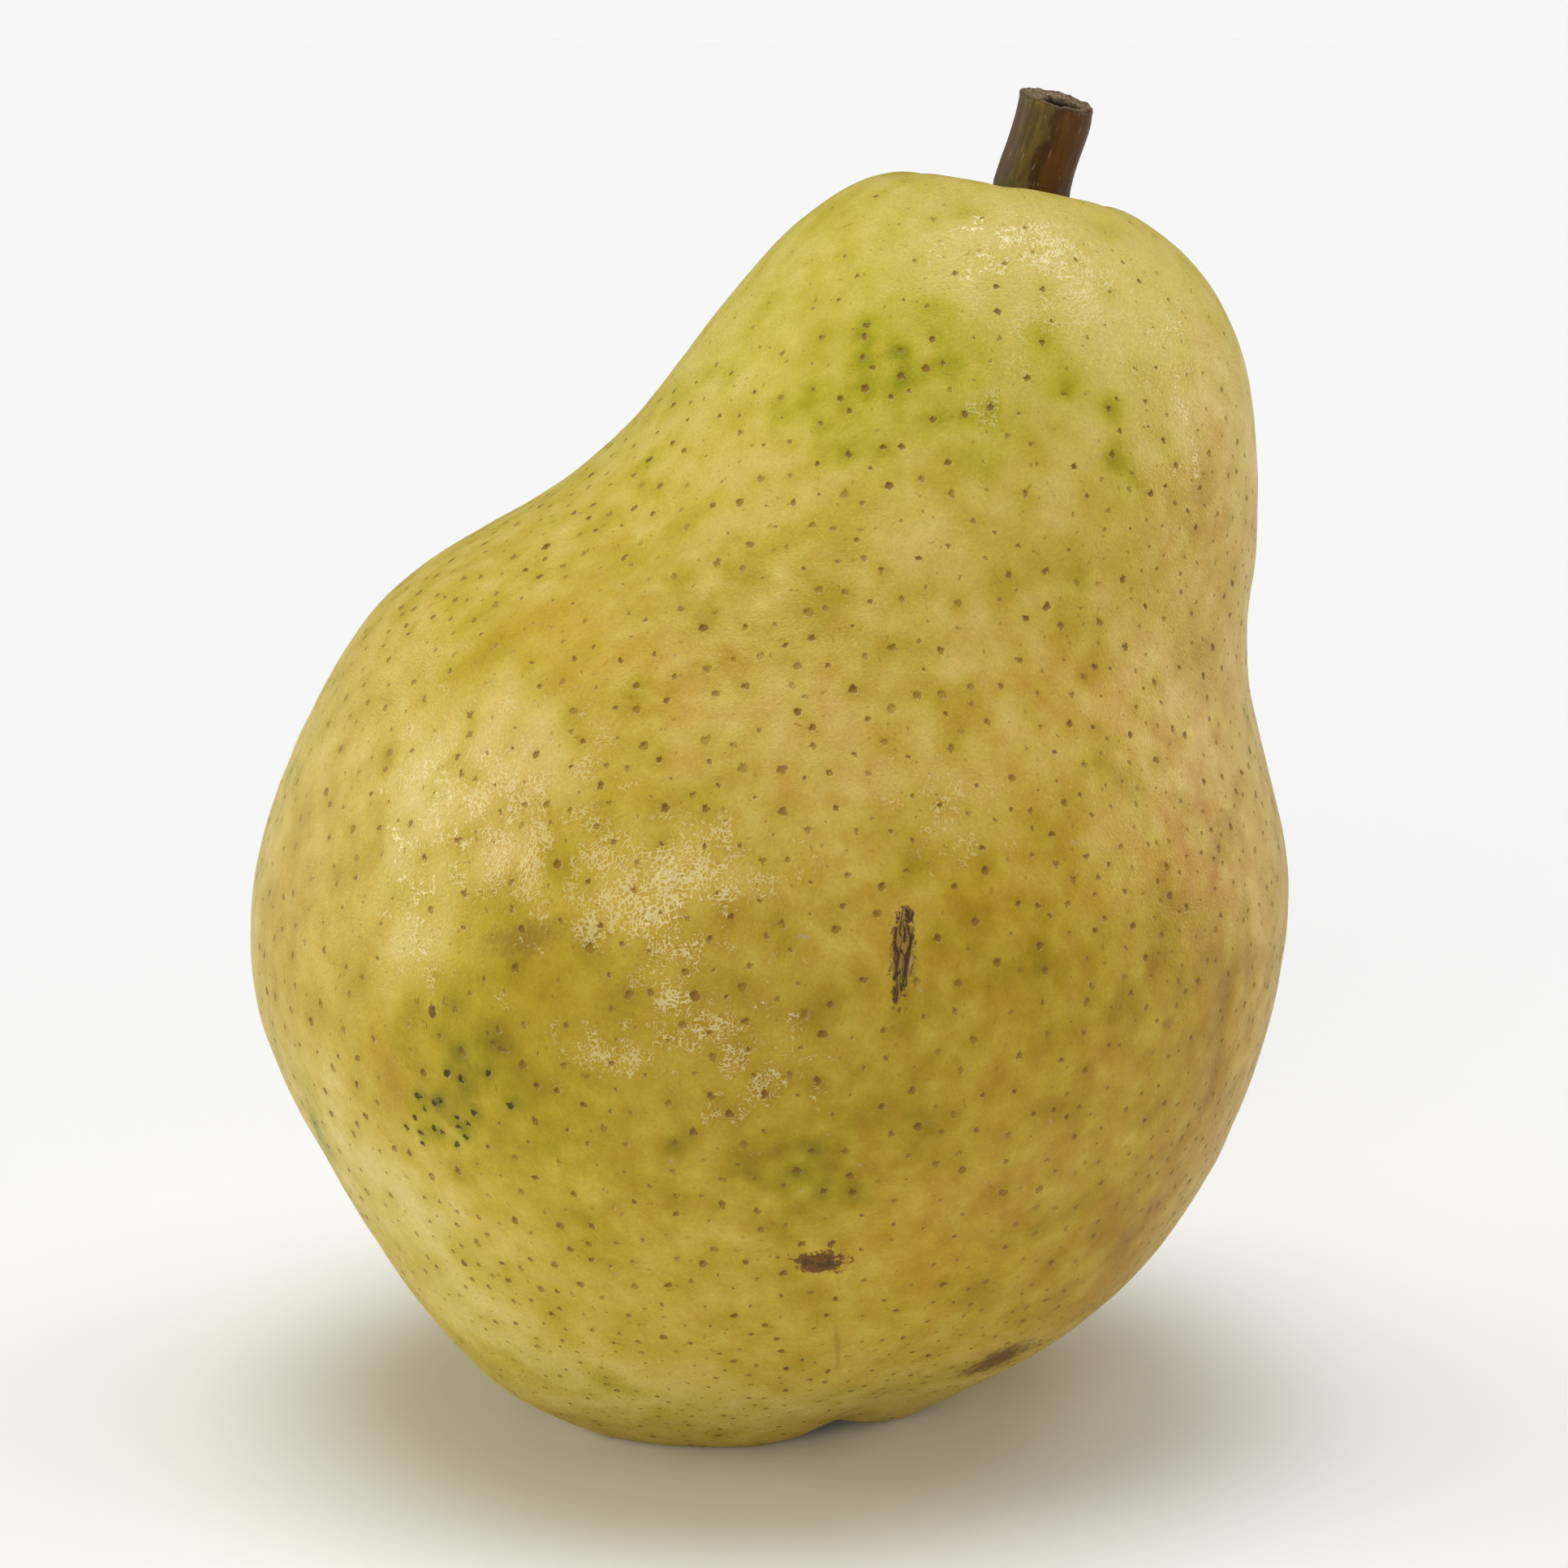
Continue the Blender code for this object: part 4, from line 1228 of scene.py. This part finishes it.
def make_stem(shift):
    """The stem: bark up to the rim, then the cut wood down into the hollow pith."""
    angles = turns(STEM_ROUND)
    rings = []
    straight = []
    looks = []
    length = STEM_GIRDLES[-1][2] - STEM_GIRDLES[0][2]
    side = 0.5 + np.where(np.sin(angles) < 0.0, 0.5, 0.35) * np.cos(angles)
    flat = np.ones(STEM_ROUND)

    def add_ring(points, radius, level, cut, pith_and_painted_shade):
        rings.append(points)
        straight.append(np.column_stack([radius * np.cos(angles), radius * np.sin(angles), level * flat]))
        looks.append(np.column_stack([side, cut * flat, pith_and_painted_shade * flat]))

    for i in range(STEM_RINGS):
        part = STEM_ROOT + (1.0 - STEM_ROOT) * i / (STEM_RINGS - 1)
        centre, radius = stem_middle(part)
        bumps = sum(height * ring_noise(angles, part * length, *wave) for height, *wave in STEM_BUMPS)
        wall = radius + bumps + STEM_FLARE * float(soft_step(*STEM_FLARE_SHARES, part))
        add_ring(stem_ring(centre, wall, angles, part), wall, part * length, 0.0, 0.0)
    top, radius = stem_middle(1.0)
    for number, (share, depth) in enumerate(CUT_PROFILE):
        waves = [(height, number * step, size, 1.0, offset) for height, step, size, offset in CUT_WAVES]
        ragged = sum(height * ring_noise(angles, *wave) for height, *wave in waves)
        centre = top + np.array(PITH_OFFSET) * min((1.0 - share) * 2.0, 1.0)
        wall = radius * share * (1.0 + CUT_WALL_SHARE * ragged) + STEM_FLARE * (share > 0.95)
        points = stem_ring(centre, wall, angles, 1.0)
        points[:, 2] += ragged * (1.0 if share > 0.4 else 0.3) - depth
        cut = float(soft_step(*CUT_SHARES, share))
        add_ring(points, wall, length - depth, cut, float(soft_step(*PITH_SHARES, share)))
    foot, _ = stem_middle(STEM_ROOT)
    points = np.vstack(rings + [foot, rings[-1].mean(axis=0)]) + shift
    obj = mesh_object("pear_stem", points, tube_faces(len(rings), STEM_ROUND), bark_material())
    ends = [(0.0, 0.0, STEM_ROOT * length), (0.0, 0.0, length - PITH_DEPTH)]
    store(obj.data, "bark_place", np.vstack(straight + [ends]))
    store(obj.data, "bark_look", np.vstack(looks + [[(0.5, 0.0, 0.0), (0.5, 1.0, 1.0)]]))
    return obj


# The calyx

def sepal_points(number, draw):
    """Rings of one sepal, from its root near the middle out to its curled tip."""
    middle_turn = math.radians(360.0 * number / SEPALS + draw.uniform(-8.0, 8.0))
    length = SEPAL_LENGTHS[number % len(SEPAL_LENGTHS)]
    curl = SEPAL_CURL * draw.uniform(0.6, 1.1)
    twist = draw.uniform(-0.35, 0.35)
    around = turns(SEPAL_ROUND)
    flat = np.ones(SEPAL_ROUND)
    rings = []
    for i in range(SEPAL_ROWS):
        part = (i + 0.5) / SEPAL_ROWS
        half_width = SEPAL_WIDTH * (1.0 - part) ** 0.7 * (0.75 + 0.6 * part)
        across = half_width * np.cos(around)
        thick = SEPAL_THICKNESS * (1.0 - 0.55 * part) / 2.0 * np.sin(around)
        out = SEPAL_START + (length - SEPAL_START) * part
        turn = middle_turn + np.arctan2(across, out)
        spots = np.column_stack([1.2 * across, 4.0 * part * flat, 5.0 * number * flat])
        crumple = wave_noise(spots, 0.9, 1.0)
        lift = SEPAL_LIFT + SEPAL_THICKNESS / 2.0 + curl * part ** 2.5 + thick
        lift = lift + 0.22 * (across / SEPAL_WIDTH) ** 2 + 0.16 * crumple + twist * across * part * 0.5
        rings.append(skin(share_of_side(np.hypot(out, across)), turn, np.maximum(lift, 0.05)))
    return rings


def stamen_points(draw):
    """Rings of one dried stamen, which stands out of the middle of the calyx."""
    angle = draw.uniform(0.0, 2.0 * math.pi)
    ring = draw.uniform(0.7, 1.8)
    lean = draw.uniform(0.1, 0.9)
    bend = draw.uniform(-0.8, 0.8)
    length = STAMEN_LENGTH * draw.uniform(0.55, 1.0)
    around = turns(STAMEN_ROUND)
    base = skin(np.array([0.0]), np.array([0.0]))[0]
    rings = []
    for i in range(STAMEN_ROWS):
        part = i / (STAMEN_ROWS - 1)
        reach = ring + lean * length * part * 0.7
        turn = angle + bend * part * part
        centre = base + np.array([reach * math.cos(turn), reach * math.sin(turn), 0.5 - length * part])
        radius = STAMEN_RADIUS * (1.25 - 0.8 * part)
        if part > 0.8:
            radius *= 1.7
        offset = np.column_stack([np.cos(around), -np.sin(around), 0.0 * around])
        rings.append(centre + radius * offset)
    return rings


def cup_points():
    """Rings of the low woody cup that the sepals stand on."""
    angles = turns(CUP_ROUND)
    rings = []
    for share, lift in CUP_PROFILE:
        ragged = 0.08 * ring_noise(angles, share, 0.7, 1.0, 3.0)
        distance = CALYX_CUP_RADIUS * share * (1.0 + ragged)
        rings.append(skin(share_of_side(distance), angles, lift + ragged))
    return rings


def make_calyx(shift):
    draw = random.Random(SEED + 1)
    groups = [(cup_points(), CUP_LOOK)]
    groups += [(sepal_points(number, draw), SEPAL_LOOK) for number in range(SEPALS)]
    groups += [(stamen_points(draw), STAMEN_LOOK) for _ in range(STAMENS)]
    points = np.zeros((0, 3))
    faces = []
    looks = []
    for rings, look in groups:
        faces += tube_faces(len(rings), len(rings[0]), len(points))
        points = np.vstack([points] + rings + [rings[0].mean(axis=0), rings[-1].mean(axis=0)])
        looks += [look] * (len(points) - len(looks))
    points = points + shift
    points[:, 2] = np.maximum(points[:, 2], CALYX_LEVEL)
    obj = mesh_object("pear_calyx", points, faces, sepal_material())
    store(obj.data, "dry_look", np.column_stack([looks, looks, looks]))
    return obj


# Camera, floor and light

def make_camera():
    place, forward, _, _ = camera_axes()
    data = bpy.data.cameras.new("camera")
    data.lens = CAMERA_LENS
    data.sensor_width = CAMERA_SENSOR
    data.clip_start = 0.01
    data.clip_end = 2.0 * FLOOR_RADIUS * MM
    camera = bpy.data.objects.new("camera", data)
    camera.location = place * MM
    camera.rotation_euler = forward.to_track_quat("-Z", "Y").to_euler()
    bpy.context.scene.collection.objects.link(camera)
    bpy.context.scene.camera = camera


def make_floor():
    material, nodes = new_material("floor")
    finish_material(material, nodes, None, {
        "Base Color": FLOOR_COLOUR,
        "Roughness": 1.0,
        "Specular IOR Level": 0.0,
    })
    angles = turns(FLOOR_ROUND)
    disc = np.column_stack([np.cos(angles), np.sin(angles), 0.0 * angles])
    points = np.vstack([[(0.0, 0.0, 0.0)]] + [FLOOR_RADIUS * share * disc for share in FLOOR_RINGS])
    points[:, 2] = FLOOR_LEVEL
    faces = []
    for j in range(FLOOR_ROUND):
        k = (j + 1) % FLOOR_ROUND
        faces.append((0, 1 + j, 1 + k))
        for i in range(len(FLOOR_RINGS) - 1):
            low = 1 + FLOOR_ROUND * i
            high = low + FLOOR_ROUND
            faces.append((low + j, high + j, high + k, low + k))
    mesh_object("floor", points, faces, material)


def softbox_view(azimuth, elevation, radius, edge):
    """Direction of a softbox, and the cosines at which its edge starts and is full."""
    turn = math.radians(azimuth)
    rise = math.radians(elevation)
    ahead = (math.cos(rise) * math.cos(turn), math.cos(rise) * math.sin(turn), math.sin(rise))
    return ahead, math.cos(math.radians(radius + edge)), math.cos(math.radians(max(radius - edge, 0.0)))


def floor_light():
    """Light that falls on the open floor from the dome and the softboxes, as red, green and blue."""
    rises = (np.arange(LIGHT_SAMPLES) + 0.5) / LIGHT_SAMPLES * math.pi / 2.0
    rise, turn = np.meshgrid(rises, turns(4 * LIGHT_SAMPLES), indexing="ij")
    directions = np.stack([np.cos(rise) * np.cos(turn), np.cos(rise) * np.sin(turn), np.sin(rise)], axis=-1)
    weight = np.sin(rise) * np.cos(rise)
    weight = weight / weight.sum()
    high = (soft_step(0.0, DOME_RISE, directions[..., 2]) * weight).sum()
    total = np.array(DOME_LOW) * (1.0 - high) + np.array(DOME_HIGH) * high
    for azimuth, elevation, radius, edge, strength, tint in SOFTBOXES:
        ahead, start, full = softbox_view(azimuth, elevation, radius, edge)
        shown = soft_step(start, full, directions @ np.array(ahead))
        total = total + strength * np.array(tint) * (shown * weight).sum()
    return total


def make_light():
    """Light scaled so that the open floor shows the colour of the backdrop."""
    world = bpy.data.worlds.new("studio")
    world.use_nodes = True
    bpy.context.scene.world = world
    nodes = Nodes(world.node_tree)
    direction = nodes.made(nodes.add("ShaderNodeTexCoord"), {}, "Generated")
    direction = nodes.vector("NORMALIZE", direction)
    colour = nodes.mix(nodes.smooth(direction.parts()[2], 0.0, DOME_RISE), DOME_LOW, DOME_HIGH)
    for azimuth, elevation, radius, edge, strength, tint in SOFTBOXES:
        ahead, start, full = softbox_view(azimuth, elevation, radius, edge)
        shown = nodes.smooth(nodes.vector("DOT_PRODUCT", direction, ahead), start, full)
        colour = colour + nodes.scale(tuple(strength * c for c in tint), shown)
    level = np.array(BACKDROP_COLOUR) / np.array(FLOOR_COLOUR) / floor_light()
    lit = nodes.made(world.node_tree.nodes["Background"], {"Color": colour * tuple(level.tolist())})
    plain = nodes.made(nodes.add("ShaderNodeBackground"), {"Color": BACKDROP_COLOUR})
    seen = nodes.made(nodes.add("ShaderNodeLightPath"), {}, "Is Camera Ray")
    choice = nodes.made(nodes.add("ShaderNodeMixShader"), {0: seen, 1: lit, 2: plain})
    nodes.feed(world.node_tree.nodes["World Output"].inputs["Surface"], choice)
    bpy.context.scene.view_settings.view_transform = "Standard"


def place_piece(piece, node):
    """The piece stands for a solid of the frame, which it hides, and hangs from the root body."""
    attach(piece, "root")
    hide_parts(node)


make_camera()
make_light()
make_floor()
skin_piece, skin_body = make_skin()
place_piece(skin_piece, "fruit")
place_piece(make_stem(skin_body.shift), "stem")
place_piece(make_calyx(skin_body.shift), "calyx")
